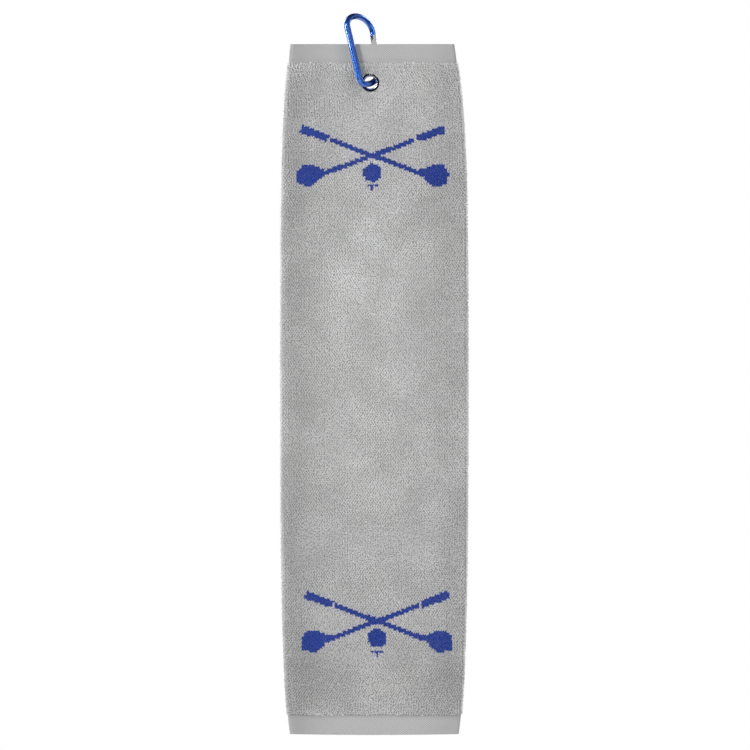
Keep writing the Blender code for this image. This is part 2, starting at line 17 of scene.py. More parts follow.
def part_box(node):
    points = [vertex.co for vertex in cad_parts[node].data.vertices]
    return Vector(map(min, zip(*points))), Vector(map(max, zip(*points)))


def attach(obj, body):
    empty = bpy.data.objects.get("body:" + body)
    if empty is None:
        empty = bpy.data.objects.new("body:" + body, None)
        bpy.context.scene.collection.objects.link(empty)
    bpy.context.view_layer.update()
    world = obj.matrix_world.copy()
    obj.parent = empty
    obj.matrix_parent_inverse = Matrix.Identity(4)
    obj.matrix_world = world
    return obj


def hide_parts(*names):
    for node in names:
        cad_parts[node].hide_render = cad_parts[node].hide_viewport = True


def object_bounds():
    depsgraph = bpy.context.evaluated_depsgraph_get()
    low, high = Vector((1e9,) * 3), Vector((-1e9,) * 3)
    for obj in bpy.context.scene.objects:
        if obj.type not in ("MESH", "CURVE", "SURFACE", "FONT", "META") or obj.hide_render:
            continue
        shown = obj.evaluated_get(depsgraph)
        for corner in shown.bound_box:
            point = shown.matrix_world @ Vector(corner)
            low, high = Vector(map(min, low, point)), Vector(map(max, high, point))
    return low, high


bl_info = {
    "name": "Golf towel with carabiner",
    "version": (1, 0, 0),
    "blender": (4, 5, 0),
    "location": "View3D > Sidebar > Golf Towel",
    "description": "Builds a tri-fold terry golf towel, its eyelet and its sprung carabiner",
    "category": "Object",
}

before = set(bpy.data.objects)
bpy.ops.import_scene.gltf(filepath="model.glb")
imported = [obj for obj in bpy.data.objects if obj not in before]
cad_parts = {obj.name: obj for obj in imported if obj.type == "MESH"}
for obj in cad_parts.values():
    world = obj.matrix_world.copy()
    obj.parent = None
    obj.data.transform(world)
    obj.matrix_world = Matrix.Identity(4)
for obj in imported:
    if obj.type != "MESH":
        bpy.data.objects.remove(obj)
CAD_LOW, CAD_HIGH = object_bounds()
MM = 0.001

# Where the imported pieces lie
EYE = sum(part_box("eyelet_barrel"), Vector()) / 2
EYE_X, EYE_Z = EYE.x, EYE.z
TOWEL_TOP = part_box("top_hem_band")[1].z
TOWEL_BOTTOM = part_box("bottom_hem_band")[0].z
BAND_HEIGHT = 13.9 * MM
TERRY_TOP = TOWEL_TOP - BAND_HEIGHT
TERRY_BOTTOM = TOWEL_BOTTOM + BAND_HEIGHT

# The fold: the same section as the solid towel
FULL_WIDTH = 134.4 * MM
TOP_PINCH = 13.4 * MM
TOP_REACH = 48.0 * MM
BOTTOM_PINCH = 9.8 * MM
BOTTOM_REACH = 65.0 * MM
BAND_TAPER = 3.2 * MM
AXIS_X = 13.8 * MM
TOP_SHIFT = -1.5 * MM
SPACING = 2.4 * MM
FREE_INSET = 2.5 * MM
INNER_INSET = 1.2 * MM
CLAMPED_SPACING = 0.95 * MM
EYELET_BORE = 4.30 * MM
EYELET_OUTER = 6.55 * MM
CLAMP_FLAT = EYELET_OUTER + 1.45 * MM
CLAMP_REACH = CLAMP_FLAT + 12.0 * MM
HOLE_RADIUS = 5.30 * MM

# Cloth make-up
GROUND_THICKNESS = 0.70 * MM
BAND_THICKNESS = 1.40 * MM
SIDE_HEM_WIDTH = 6.0 * MM
SIDE_HEM_THICKNESS = 1.30 * MM
STITCH_INSET = 2.6 * MM
RIB_SLOPE = 38.0
WIDE_PLACE = -250 * MM
SEED = 7

# Pile
FIRST_ROW = TERRY_TOP - 0.25 * MM
LAST_ROW = TERRY_BOTTOM + 0.2 * MM
PAIR_HALF = 0.41 * MM
COLUMN_JITTER = 0.12 * MM
ROW_JITTER = 0.15 * MM
LEAN_SPREAD = 0.20
YAW_SPREAD = 0.80
LOWEST_LOOP, TALLEST_LOOP = 0.82, 1.12
BACK_LOOP_WIDTH = 1.25
UP = np.array([0.0, 0.0, 1.0])

# How far the towel swings and the gate turns, and the room that the pile leaves them
SWING_ANGLES = np.radians(np.arange(-50.0, 34.1, 4.0))
GATE_ANGLES = (0.0, 10.0, 20.0)
BAR_REACH = 70 * MM
PILE_CLEARANCE = 0.45 * MM

# Carabiner, as in the solid one
BAR_RADIUS = 2.15 * MM
SPINE_WIDTH = 5.0 * MM
SPINE_THICKNESS = 3.1 * MM
SPINE_LENGTH = 37.9 * MM
SPINE_LEAN = 0.150
NOSE_SIDE = 17.9 * MM
NOSE_DROP = 12.6 * MM
SPINE_SIDE = 10.1 * MM
SPINE_CORNER_DROP = 7.0 * MM
BASE_CORNER = (6.1 * MM, 5.6 * MM)
BASE_RISE = 10.0 * MM
SPINE_BLEND = 5.0 * MM
NOSE_TONGUE = 4.1 * MM
NOSE_SHOULDER = 0.7 * MM
PIVOT_RISE = 1.2 * MM
TANG_TIP = 1.75 * MM
TANG_HALF = 1.0 * MM
GATE_RADIUS = 2.35 * MM
GATE_SLOT_HALF = 1.3 * MM
GATE_SLOT_ROOT = 3.05 * MM
SPRING_BORE = 1.2 * MM
SPRING_BORE_DEPTH = 9.85 * MM
NOSE_SLOT_DEPTH = 9.0 * MM
LATCH_DEPTH = 2.2 * MM
PIN_RADIUS = 0.6 * MM
RIVET_RADIUS = 0.8 * MM
SEAT_GAP = 0.30 * MM
SMALL_GAP = 0.20 * MM
CUT_MARGIN = 4.0 * MM
ACROSS = Vector((1.0, 1.20, 0.0)).normalized()
NORMAL = Vector((1.20, -1.0, 0.28)).normalized()
PLANE = Matrix((ACROSS, -NORMAL, NORMAL.cross(ACROSS))).transposed().to_4x4()


# ---------------------------------------------------------------- small helpers

def rng(extra=0):
    return np.random.default_rng(SEED + extra)


def smoothstep(value):
    value = np.clip(value, 0.0, 1.0)
    return value * value * (3.0 - 2.0 * value)


def link(obj):
    bpy.context.scene.collection.objects.link(obj)
    return obj


@contextmanager
def edited(mesh):
    """Edit a mesh as a bmesh, and write it back with its faces turned out."""
    bm = bmesh.new()
    bm.from_mesh(mesh)
    yield bm
    bmesh.ops.recalc_face_normals(bm, faces=bm.faces)
    bm.to_mesh(mesh)
    bm.free()


def face_out(mesh):
    """Turn a mesh's faces outwards."""
    with edited(mesh):
        pass


def weld(mesh):
    """Merge points that lie together."""
    with edited(mesh) as bm:
        bmesh.ops.remove_doubles(bm, verts=bm.verts, dist=0.002 * MM)


def raw_mesh(name, verts, faces, material):
    """A smooth mesh of points and faces just as they are given."""
    mesh = bpy.data.meshes.new(name)
    mesh.from_pydata([tuple(v) for v in verts], [], [tuple(f) for f in faces])
    mesh.update()
    mesh.shade_smooth()
    mesh.materials.append(material)
    return link(bpy.data.objects.new(name, mesh))


def mesh_object(name, verts, faces, material):
    """An object from points and faces, welded and with its normals facing out."""
    obj = raw_mesh(name, verts, faces, material)
    weld(obj.data)
    obj.data.shade_smooth()
    return obj


def grid_faces(rows, columns, closed_rows=False, closed_columns=False):
    """Quads of a rows by columns grid of points."""
    faces = []
    for r in range(rows if closed_rows else rows - 1):
        for c in range(columns if closed_columns else columns - 1):
            a, b = r * columns + c, r * columns + (c + 1) % columns
            d = (r + 1) % rows * columns
            faces.append((a, b, d + (c + 1) % columns, d + c))
    return faces


def settle(obj):
    """Turn modifiers into plain mesh, and put the object's place into its points."""
    graph = bpy.context.evaluated_depsgraph_get()
    mesh = bpy.data.meshes.new_from_object(obj.evaluated_get(graph), depsgraph=graph)
    mesh.transform(obj.matrix_world)
    obj.modifiers.clear()
    obj.parent = None
    obj.matrix_world = Matrix.Identity(4)
    obj.data = mesh
    mesh.name = obj.name
    return obj


def round_edges(obj):
    """Round the milled edges of a metal piece, and finish it as plain mesh."""
    bevel = obj.modifiers.new("edges", "BEVEL")
    bevel.width = metal().edge_round
    bevel.segments = 2
    bevel.limit_method = "ANGLE"
    bevel.angle_limit = math.radians(35)
    obj.data.shade_smooth()
    obj.data.set_sharp_from_angle(angle=math.radians(32))
    return settle(obj)


def cut_away(obj, cutters):
    """Boolean the cutters out of the object, then remove them."""
    for cutter in cutters:
        boolean = obj.modifiers.new("cut", "BOOLEAN")
        boolean.operation = "DIFFERENCE"
        boolean.solver = "EXACT"
        boolean.object = cutter
    bpy.context.view_layer.update()
    settle(obj)
    for cutter in cutters:
        bpy.data.objects.remove(cutter, do_unlink=True)


def cutter(bm):
    """A finished bmesh as a cutter, laid in the carabiner's plane."""
    mesh = bpy.data.meshes.new("cutter")
    bm.to_mesh(mesh)
    bm.free()
    mesh.transform(PLANE)
    return link(bpy.data.objects.new("cutter", mesh))


def box(low, high):
    """A closed box for cutting."""
    low, high = Vector(low), Vector(high)
    bm = bmesh.new()
    bmesh.ops.create_cube(bm, size=1.0)
    bmesh.ops.scale(bm, vec=high - low, verts=bm.verts)
    bmesh.ops.translate(bm, vec=(low + high) / 2, verts=bm.verts)
    return cutter(bm)


def rod(radius, start, end, sides=48):
    """A closed rod for cutting."""
    start, end = Vector(start), Vector(end)
    bm = bmesh.new()
    bmesh.ops.create_cone(bm, cap_ends=True, segments=sides, radius1=radius, radius2=radius,
                          depth=(end - start).length)
    turn = (end - start).to_track_quat("Z", "Y").to_matrix().to_4x4()
    bmesh.ops.transform(bm, matrix=Matrix.Translation((start + end) / 2) @ turn, verts=bm.verts)
    return cutter(bm)


def lathe(name, profile, material, matrix, steps=64, closed=False):
    """Turn (radius, height) points round Z, then place the result by a matrix."""
    count = len(profile)
    verts, faces = [], []
    for step in range(steps):
        angle = math.tau * step / steps
        verts += [(r * math.cos(angle), r * math.sin(angle), h) for r, h in profile]
    for step in range(steps):
        a, b = step * count, (step + 1) % steps * count
        for i in range(count if closed else count - 1):
            j = (i + 1) % count
            faces.append((a + i, b + i, b + j, a + j))
    obj = mesh_object(name, verts, faces, material)
    with edited(obj.data) as bm:
        bmesh.ops.dissolve_degenerate(bm, dist=0.001 * MM, edges=bm.edges)
    obj.data.transform(matrix)
    obj.data.set_sharp_from_angle(angle=math.radians(40))
    return obj


def arc(centre, radius, start_deg, end_deg, steps):
    """Points on an arc; the radius is one number, or one for each axis."""
    rx, ry = radius if isinstance(radius, tuple) else (radius, radius)
    angles = np.radians(np.linspace(start_deg, end_deg, steps + 1))
    return [(centre[0] + rx * math.cos(a), centre[1] + ry * math.sin(a)) for a in angles]


# ---------------------------------------------------------------- the folded sheet

def folded_width(z):
    from_top, from_bottom = TOWEL_TOP - z, z - TOWEL_BOTTOM
    top = TOP_PINCH * np.exp(-np.maximum(from_top - BAND_HEIGHT, 0.0) / TOP_REACH)
    bottom = BOTTOM_PINCH * np.exp(-np.maximum(from_bottom - BAND_HEIGHT, 0.0) / BOTTOM_REACH)
    nearest = np.minimum(from_top, from_bottom)
    return FULL_WIDTH - top - bottom - BAND_TAPER * np.maximum(1.0 - nearest / BAND_HEIGHT, 0.0)


def folded_centre(z):
    return AXIS_X + TOP_SHIFT * np.exp((z - TOWEL_TOP) / TOP_REACH)


def clamp_share(x, z):
    """0 under the eyelet's flanges, 1 where the layers lie free."""
    distance = np.hypot(x - EYE_X, z - EYE_Z)
    return smoothstep((distance - CLAMP_FLAT) / (CLAMP_REACH - CLAMP_FLAT))


def drape(x, z):
    """The slow waves of a towel that was folded and pressed, shared by its three layers."""
    u, v = (x - AXIS_X) / (FULL_WIDTH / 2), (z - TOWEL_BOTTOM) / (TOWEL_TOP - TOWEL_BOTTOM)
    wave = 0.60 * np.sin(2.1 * math.pi * v + 0.9 * u) + 0.34 * np.sin(5.3 * math.pi * v - 1.7 * u + 1.0)
    wave += 0.26 * np.sin(3.1 * math.pi * u + 4.0 * math.pi * v)
    free = smoothstep((TOWEL_TOP - z - 34.0 * MM) / (60.0 * MM)) * (0.35 + 0.65 * smoothstep(v / 0.10))
    return (wave - 0.6 * (1.0 - u * u) ** 2) * MM * free


class Fold:
    """Where a point of the flat sheet lies: s runs along the folded section, z is the height."""

    def __init__(self, z):
        z = np.asarray(z, float)
        half, centre = folded_width(z) / 2, folded_centre(z)
        self.left, self.right = centre - half, centre + half
        self.back_start = self.right - FREE_INSET
        self.back = self.back_start - (self.left + SPACING)
        self.left_fold = math.pi * SPACING
        self.front = (self.right - SPACING / 2) - (self.left + SPACING)
        self.right_fold = math.pi * SPACING / 2
        self.middle = (self.right - SPACING / 2) - (self.left + SPACING + INNER_INSET)
        self.z = z

    def length(self):
        return self.back + self.left_fold + self.front + self.right_fold + self.middle

    def front_start(self):
        return self.back + self.left_fold

    def on_front(self, x):
        """The distance along the section of a place x on the front layer."""
        return self.front_start() + (x - self.left - SPACING)

    def knots(self):
        """Where each stretch of the section starts, and where the last one ends."""
        front_end = self.front_start() + self.front
        return [np.zeros_like(self.back), self.back, self.front_start(), front_end,
                front_end + self.right_fold, self.length()]

    def place(self, s, proud=0.0):
        """Points and outward directions at the distances s along the section."""
        s, proud = np.broadcast_arrays(np.asarray(s, float), np.asarray(proud, float))
        z = np.broadcast_to(self.z, s.shape)
        left, right = np.broadcast_to(self.left, s.shape), np.broadcast_to(self.right, s.shape)
        a1 = np.broadcast_to(self.back, s.shape)
        a2 = a1 + self.left_fold
        a3 = a2 + np.broadcast_to(self.front, s.shape)
        a4 = a3 + self.right_fold
        x, y = np.zeros_like(s), np.zeros_like(s)
        nx, ny = np.zeros_like(s), np.zeros_like(s)
        flat = np.zeros_like(s)

        m = s <= a1
        x[m], flat[m], ny[m] = (right - FREE_INSET - s)[m], 1.0, 1.0
        m = (s > a2) & (s <= a3)
        x[m], flat[m], ny[m] = (left + SPACING + s - a2)[m], -1.0, -1.0
        folds = ((a1, a2, left + SPACING, 0.0, SPACING, math.pi / 2),
                 (a3, a4, right - SPACING / 2, -SPACING / 2, SPACING / 2, -math.pi / 2))
        for start, end, centre_x, centre_y, radius, first in folds:
            m = (s > start) & (s <= end)
            angle = first + (s - start) / radius
            nx[m], ny[m] = np.cos(angle)[m], np.sin(angle)[m]
            x[m] = (centre_x + radius * np.cos(angle))[m]
            y[m] = (centre_y + radius * np.sin(angle))[m]
        m = s > a4
        x[m], ny[m] = (right - SPACING / 2 - (s - a4))[m], 1.0
        spacing = CLAMPED_SPACING + (SPACING - CLAMPED_SPACING) * clamp_share(x, z)
        y = np.where(flat != 0.0, flat * spacing, y)
        points = np.stack([x + nx * proud, y + ny * proud + drape(x, z), z], -1)
        return points, np.stack([nx, ny, np.zeros_like(nx)], -1)


def spread(low, high, step, near=None, near_step=None, reach=None):
    """Stations from low to high, closer together round one place."""
    stations = [low]
    while stations[-1] < high:
        close = near is not None and abs(stations[-1] - near) < reach
        stations.append(stations[-1] + (near_step if close else step))
    stations[-1] = high
    if stations[-1] - stations[-2] < 0.3 * MM:
        stations.pop(-2)
    return np.array(stations)


def section_stations(fold, step, near_step):
    """Distances along one section, close together at the folds and abreast of the eyelet."""
    _, back, start, front_end, middle, end = (float(knot) for knot in fold.knots())
    eye_back = float(fold.back_start) - EYE_X
    eye_front = start + EYE_X - (float(fold.left) + SPACING)
    eye_middle = middle + float(fold.right) - SPACING / 2 - EYE_X
    reach = CLAMP_REACH + 1 * MM
    return np.concatenate([spread(0.0, back, step, eye_back, near_step, reach),
                           np.linspace(back, start, 15)[1:],
                           spread(start, front_end, step, eye_front, near_step, reach)[1:],
                           np.linspace(front_end, middle, 11)[1:],
                           spread(middle, end, step, eye_middle, near_step, reach)[1:]])


# ---------------------------------------------------------------- the motif

HEAD_OUTLINE = [(34.5, -9.5), (38.5, -17.5), (45.5, -22.6), (54.0, -20.0), (55.4, -12.5), (50.5, -5.5),
                (43.0, -6.5)]


def club_cover(x, z):
    """One golf club in the motif: grip at upper left, head at lower right; in millimetres."""
    grip, hosel = np.array([-52.0, 20.0]), np.array([37.0, -13.0])
    run = hosel - grip
    length = math.hypot(*run)
    along = ((x - grip[0]) * run[0] + (z - grip[1]) * run[1]) / length
    side = ((x - grip[0]) * -run[1] + (z - grip[1]) * run[0]) / length
    half = np.where(along < 22.0, 3.1 - 0.03 * along, 1.75)
    shaft = (along > 0.0) & (along < length + 2.0) & (np.abs(side) < half)
    shaft &= ~((along > 21.0) & (along < 23.0))
    head = np.ones(np.shape(x), bool)
    for (ax, az), (bx, bz) in zip(HEAD_OUTLINE, HEAD_OUTLINE[1:] + HEAD_OUTLINE[:1]):
        head &= (bx - ax) * (z - az) - (bz - az) * (x - ax) > 0.0
    return shaft | head


def motif_cover(x, z):
    """Crossed clubs over a ball and its tee; in millimetres from the motif's middle."""
    clubs = club_cover(x, z) | club_cover(-x, z)
    ball = np.hypot(x, z + 11.8) < 6.7
    tee = ((np.abs(x) < 3.9) & (np.abs(z + 21.6) < 0.8)) | ((np.abs(x) < 1.0) & (np.abs(z + 23.2) < 1.6))
    return clubs | ball | tee


MOTIFS = {"upper": (EYE_X + 1.65 * MM, TOWEL_TOP - 81.5 * MM),
          "lower": (EYE_X + 4.90 * MM, TOWEL_TOP - 419.0 * MM)}


def in_motif(x, z):
    """Which motif each place is in: 0 for none, then 1 and 2."""
    found = np.zeros(np.shape(x), int)
    for number, (cx, cz) in enumerate(MOTIFS.values(), 1):
        found[motif_cover((x - cx) / MM, (z - cz) / MM)] = number
    return found


# ---------------------------------------------------------------- finishes

def feed(tree, made, inputs):
    """Set each of a node's inputs to a value, or link it where a socket is given."""
    for key, value in inputs.items():
        if isinstance(value, bpy.types.NodeSocket):
            tree.links.new(value, made.inputs[key])
        else:
            made.inputs[key].default_value = value
    return made


def node(tree, kind, inputs=None, **settings):
    """A shader or geometry node with its settings and inputs."""
    made = tree.nodes.new(kind)
    for key, value in settings.items():
        setattr(made, key, value)
    return feed(tree, made, inputs or {})


def math_node(tree, operation, *values):
    return node(tree, "ShaderNodeMath", dict(enumerate(values)), operation=operation).outputs[0]


def object_place(tree):
    return tree.nodes.new("ShaderNodeTexCoord").outputs["Object"]


def split(tree, vector):
    return node(tree, "ShaderNodeSeparateXYZ", {0: vector}).outputs


def noise(tree, vector, scale, detail=2.0, roughness=0.5):
    return node(tree, "ShaderNodeTexNoise", {"Vector": vector, "Scale": scale, "Detail": detail,
                                             "Roughness": roughness}).outputs["Fac"]


def remap(tree, value, low, high, out_low, out_high):
    return node(tree, "ShaderNodeMapRange", {"Value": value, "From Min": low, "From Max": high,
                                             "To Min": out_low, "To Max": out_high}).outputs["Result"]


def mix_colours(tree, share, first, second):
    """The first colour where the share is 0, the second where it is 1."""
    return node(tree, "ShaderNodeMix", {"Factor": share, 6: first, 7: second}, data_type="RGBA").outputs[2]


def tint(tree, colour, factor):
    """The colour times a grey factor."""
    return node(tree, "ShaderNodeVectorMath", {0: colour, "Scale": factor}, operation="SCALE").outputs[0]


def opaque(colour):
    return (*colour, 1.0)


def ramp(tree, value, stops):
    """A grey ramp; stops are (position, brightness)."""
    made = node(tree, "ShaderNodeValToRGB", {"Fac": value})
    band = made.color_ramp
    for element, (position, bright) in zip(band.elements, (stops[0], stops[-1])):
        element.position, element.color = position, opaque([bright] * 3)
    for position, bright in stops[1:-1]:
        band.elements.new(position).color = opaque([bright] * 3)
    return made.outputs["Color"]


def group_tree(name, colours, numbers, values=()):
    """An effect group with colour and number inputs, a colour output and outputs of single values.

    Returns the tree and its inputs; each effect ends in an output node of its own.
    """
    tree = bpy.data.node_groups.new(name, "ShaderNodeTree")
    for label in colours:
        tree.interface.new_socket(label, in_out="INPUT", socket_type="NodeSocketColor")
    for label, default in numbers.items():
        socket = tree.interface.new_socket(label, in_out="INPUT", socket_type="NodeSocketFloat")
        socket.default_value = default
    tree.interface.new_socket("Color", in_out="OUTPUT", socket_type="NodeSocketColor")
    for label in values:
        tree.interface.new_socket(label, in_out="OUTPUT", socket_type="NodeSocketFloat")
    return tree, tree.nodes.new("NodeGroupInput").outputs


def make_yarn_group():
    """Flecks of single fibres, slow blotches of painted shade for pile that lies over and takes the light
    unevenly, and a twist for the bump.
    """
    tree, given = group_tree("yarn", ["Color"], {"Fleck": 0.15, "Fleck Scale": 900.0, "Blotch": 0.1,
                                                 "Blotch Scale": 45.0}, ["Height"])
    place = object_place(tree)
    fleck = noise(tree, place, given["Fleck Scale"])
    # painted shade: slow light and dark blotches in the colour
    shade_blotch = noise(tree, place, given["Blotch Scale"], 3.0, 0.55)
    near, slow = (math_node(tree, "MULTIPLY", math_node(tree, "SUBTRACT", field, 0.5), given[amount])
                  for field, amount in ((fleck, "Fleck"), (shade_blotch, "Blotch")))
    factor = math_node(tree, "ADD", math_node(tree, "ADD", near, slow), 1.0)
    node(tree, "NodeGroupOutput", {"Color": tint(tree, given["Color"], factor), "Height": fleck})
    return tree


# Painted shade: factors that darken the cloth's colour from its top to its bottom, and from its left to its
# right side
PAINTED_SHADE_DOWN = [(0.0, 0.91), (0.08, 0.91), (0.25, 0.925), (0.37, 0.955), (0.51, 0.955), (0.66, 0.925),
            (0.75, 0.90), (0.86, 0.86), (0.92, 0.81), (0.955, 0.865), (0.968, 0.88), (0.976, 0.955),
            (1.0, 0.955)]
PAINTED_SHADE_ACROSS = [(0.0, 0.83), (0.05, 0.79), (0.10, 0.80), (0.15, 0.87), (0.24, 0.94), (0.36, 0.98),
              (0.50, 1.0), (0.66, 0.99), (0.80, 0.955), (0.90, 0.88), (1.0, 0.88)]


def make_cloth_shade_group():
    """Painted shade: the cloth's colour made darker or lighter along its length and across its width, for
    the shading of the hanging towel.
    """
    tree, given = group_tree("cloth_painted_shade", ["Color"], {})
    parts = split(tree, object_place(tree))
    down = remap(tree, parts["Z"], TOWEL_TOP, TOWEL_BOTTOM, 0.0, 1.0)
    side = remap(tree, parts["X"], AXIS_X - FULL_WIDTH / 2, AXIS_X + FULL_WIDTH / 2, 0.0, 1.0)
    factor = math_node(tree, "MULTIPLY", ramp(tree, down, PAINTED_SHADE_DOWN), ramp(tree, side, PAINTED_SHADE_ACROSS))
    node(tree, "NodeGroupOutput", {"Color": tint(tree, given["Color"], factor)})
    return tree


def make_wear_group():
    """Fine brushed scratches, small dents and smudges of a handled metal piece."""
    tree, given = group_tree("metal_wear", ["Color", "Worn Color"],
                             {"Wear": 0.3, "Roughness": 0.25, "Grain Scale": 2500.0},
                             ["Roughness", "Height"])
    place = object_place(tree)
    brushed = node(tree, "ShaderNodeMapping", {"Vector": place, "Scale": (1.0, 1.0, 0.12)}).outputs[0]
    grain = noise(tree, brushed, given["Grain Scale"], 3.0)
    smudge = noise(tree, place, 170.0, 3.0, 0.6)
    worn = remap(tree, noise(tree, place, 620.0, 4.0, 0.7), 0.62, 0.74, 0.0, 1.0)
    colour = mix_colours(tree, math_node(tree, "MULTIPLY", worn, given["Wear"]), given["Color"],
                         given["Worn Color"])
    uneven = math_node(tree, "ADD", math_node(tree, "MULTIPLY", smudge, 0.16),
                       math_node(tree, "MULTIPLY", grain, 0.12))
    rough = math_node(tree, "ADD", given["Roughness"], math_node(tree, "SUBTRACT", uneven, 0.14))
    node(tree, "NodeGroupOutput", {"Color": colour, "Height": grain,
                                   "Roughness": math_node(tree, "MAXIMUM", rough, 0.05)})
    return tree


def make_weave_group():
    """Crossing yarns of a woven ground, read from the cloth's own map in metres, with painted shade
    darkening the hollows between them.
    """
    tree, given = group_tree("weave", ["Color"],
                             {"Pitch": 0.0007, "Slant": 0.0, "Cross": 1.0, "Depth": 0.35}, ["Height"])
    parts = split(tree, node(tree, "ShaderNodeUVMap", uv_map="cloth").outputs["UV"])
    turns = math_node(tree, "DIVIDE", math.tau, given["Pitch"])
    slanted = math_node(tree, "MULTIPLY_ADD", parts["Y"], given["Slant"], parts["X"])
    warp, weft = (math_node(tree, "SINE", math_node(tree, "MULTIPLY", along, turns))
                  for along in (slanted, parts["Y"]))
    crossed = math_node(tree, "MULTIPLY_ADD", math_node(tree, "SUBTRACT", weft, 1.0), given["Cross"], 1.0)
    height = remap(tree, math_node(tree, "MULTIPLY", warp, crossed), -1.0, 1.0, 0.0, 1.0)
    # painted shade: the colour is darkened by Depth in the hollows between the yarns
    hollow_shade = math_node(tree, "MULTIPLY", given["Depth"], math_node(tree, "SUBTRACT", 1.0, height))
    shade = math_node(tree, "SUBTRACT", 1.0, hollow_shade)
    node(tree, "NodeGroupOutput", {"Color": tint(tree, given["Color"], shade), "Height": height})
    return tree


GROUPS = {"yarn": make_yarn_group, "cloth_painted_shade": make_cloth_shade_group, "metal_wear": make_wear_group,
          "weave": make_weave_group}


def place_group(tree, name, inputs):
    """An effect group in a material, built the first time it is asked for; gives its outputs."""
    effect = bpy.data.node_groups.get(name) or GROUPS[name]()
    return node(tree, "ShaderNodeGroup", inputs, node_tree=effect).outputs


def bumped(tree, height, strength, distance):
    """The surface's direction over a height."""
    return node(tree, "ShaderNodeBump", {"Height": height, "Strength": strength,
                                         "Distance": distance}).outputs["Normal"]


def finish(name, build):
    """A material that is made once; build gives the shader's inputs."""
    material = bpy.data.materials.get(name)
    if material is None:
        material = bpy.data.materials.new(name)
        material.use_nodes = True
        tree = material.node_tree
        feed(tree, tree.nodes["Principled BSDF"], build(tree))
    return material


def yarn_material(name, colour, fleck=0.30, shade_blotch=0.50, paint_shade=True, sheen=0.35, fleck_scale=1100.0):
    """Spun cotton yarn."""
    def build(tree):
        yarn = place_group(tree, "yarn", {"Color": opaque(colour), "Fleck": fleck, "Blotch": shade_blotch,
                                          "Fleck Scale": fleck_scale})
        shade = yarn["Color"]
        # painted shade along the towel's length and across its width
        if paint_shade:
            shade = place_group(tree, "cloth_painted_shade", {"Color": shade})["Color"]
        return {"Base Color": shade, "Normal": bumped(tree, yarn["Height"], 0.5, 0.12 * MM),
                "Roughness": 0.92, "Specular IOR Level": 0.2, "Sheen Weight": sheen,
                "Sheen Roughness": 0.5}
    return finish(name, build)


def woven_material(name, colour, pitch, slant, cross, depth):
    """Flat woven cloth: ground or twill."""
    def build(tree):
        yarn = place_group(tree, "yarn", {"Color": opaque(colour), "Fleck": 0.20, "Blotch": 0.06,
                                          "Fleck Scale": 1500.0})
        weave = place_group(tree, "weave", {"Color": yarn["Color"], "Pitch": pitch, "Slant": slant,
                                            "Cross": cross, "Depth": depth})
        # the same painted shade along the length and across the width as on the pile
        shade = place_group(tree, "cloth_painted_shade", {"Color": weave["Color"]})["Color"]
        return {"Base Color": shade, "Normal": bumped(tree, weave["Height"], 0.6, 0.10 * MM),
                "Roughness": 0.85, "Specular IOR Level": 0.25, "Sheen Weight": 0.2}
    return finish(name, build)


def metal_material(name, colour, worn, wear, roughness, metallic=1.0, coat=0.0, grain=2500.0):
    """Polished, plated or anodised metal."""
    def build(tree):
        surface = place_group(tree, "metal_wear", {"Color": opaque(colour), "Worn Color": opaque(worn),
                                                   "Wear": wear, "Roughness": roughness,
                                                   "Grain Scale": grain})
        return {"Base Color": surface["Color"], "Roughness": surface["Roughness"],
                "Normal": bumped(tree, surface["Height"], 0.03, 0.01 * MM), "Metallic": metallic,
                "Coat Weight": coat, "Coat Roughness": 0.06}
    return finish(name, build)


def eyelet_material(dark, bright):
    """Black plating, with a painted highlight: a bright ring of colour on the lip where the bar runs."""
    def build(tree):
        place = object_place(tree)
        centred = node(tree, "ShaderNodeMapping", {"Vector": place, "Location": (-EYE_X, 0.0, -EYE_Z),
                                                   "Scale": (1, 0, 1)}).outputs[0]
        size = node(tree, "ShaderNodeVectorMath", {0: centred}, operation="LENGTH").outputs["Value"]
        uneven = math_node(tree, "MULTIPLY", math_node(tree, "SUBTRACT", noise(tree, place, 900.0), 0.5),
                           0.4 * MM)
        radius = math_node(tree, "ADD", size, uneven)
        # painted highlight: the bright colour in a ring on the rolled lip, about 4.5 to 5 mm from the
        # middle
        painted_highlight = math_node(tree, "MULTIPLY", remap(tree, radius, 4.85 * MM, 5.10 * MM, 1.0, 0.0),
                           remap(tree, radius, 4.42 * MM, 4.60 * MM, 0.0, 1.0))
        surface = place_group(tree, "metal_wear", {
            "Color": mix_colours(tree, painted_highlight, opaque(dark), opaque(bright)),
            "Worn Color": (0.45, 0.44, 0.43, 1.0), "Wear": 0.35, "Roughness": 0.24})
        return {"Base Color": surface["Color"], "Roughness": surface["Roughness"],
                "Normal": bumped(tree, surface["Height"], 0.1, 0.03 * MM), "Metallic": 1.0}
    return finish("eyelet_plating_and_lip_highlight", build)


def floor_material():
    def build(tree):
        shade = remap(tree, noise(tree, object_place(tree), 3.0), 0.3, 0.7, 0.86, 0.90)
        pale = node(tree, "ShaderNodeCombineColor", {0: shade, 1: shade, 2: shade})
        return {"Base Color": pale.outputs[0], "Roughness": 0.9}
    return finish("pale_floor", build)


# ---------------------------------------------------------------- settings

def length(name, description, default, low, high):
    """A size that the user may change; given in millimetres."""
    return FloatProperty(name=name, description=description, default=default * MM, min=low * MM,
                         max=high * MM, unit="LENGTH", precision=5)


def colour(name, description, default):
    """A colour that the user may change."""
    return FloatVectorProperty(name=name, description=description, subtype="COLOR", size=3,
                               default=default, min=0, max=1)


def power(name, description, default):
    """A light's strength that the user may change."""
    return FloatProperty(name=name, description=description, default=default, min=0.0, unit="POWER")


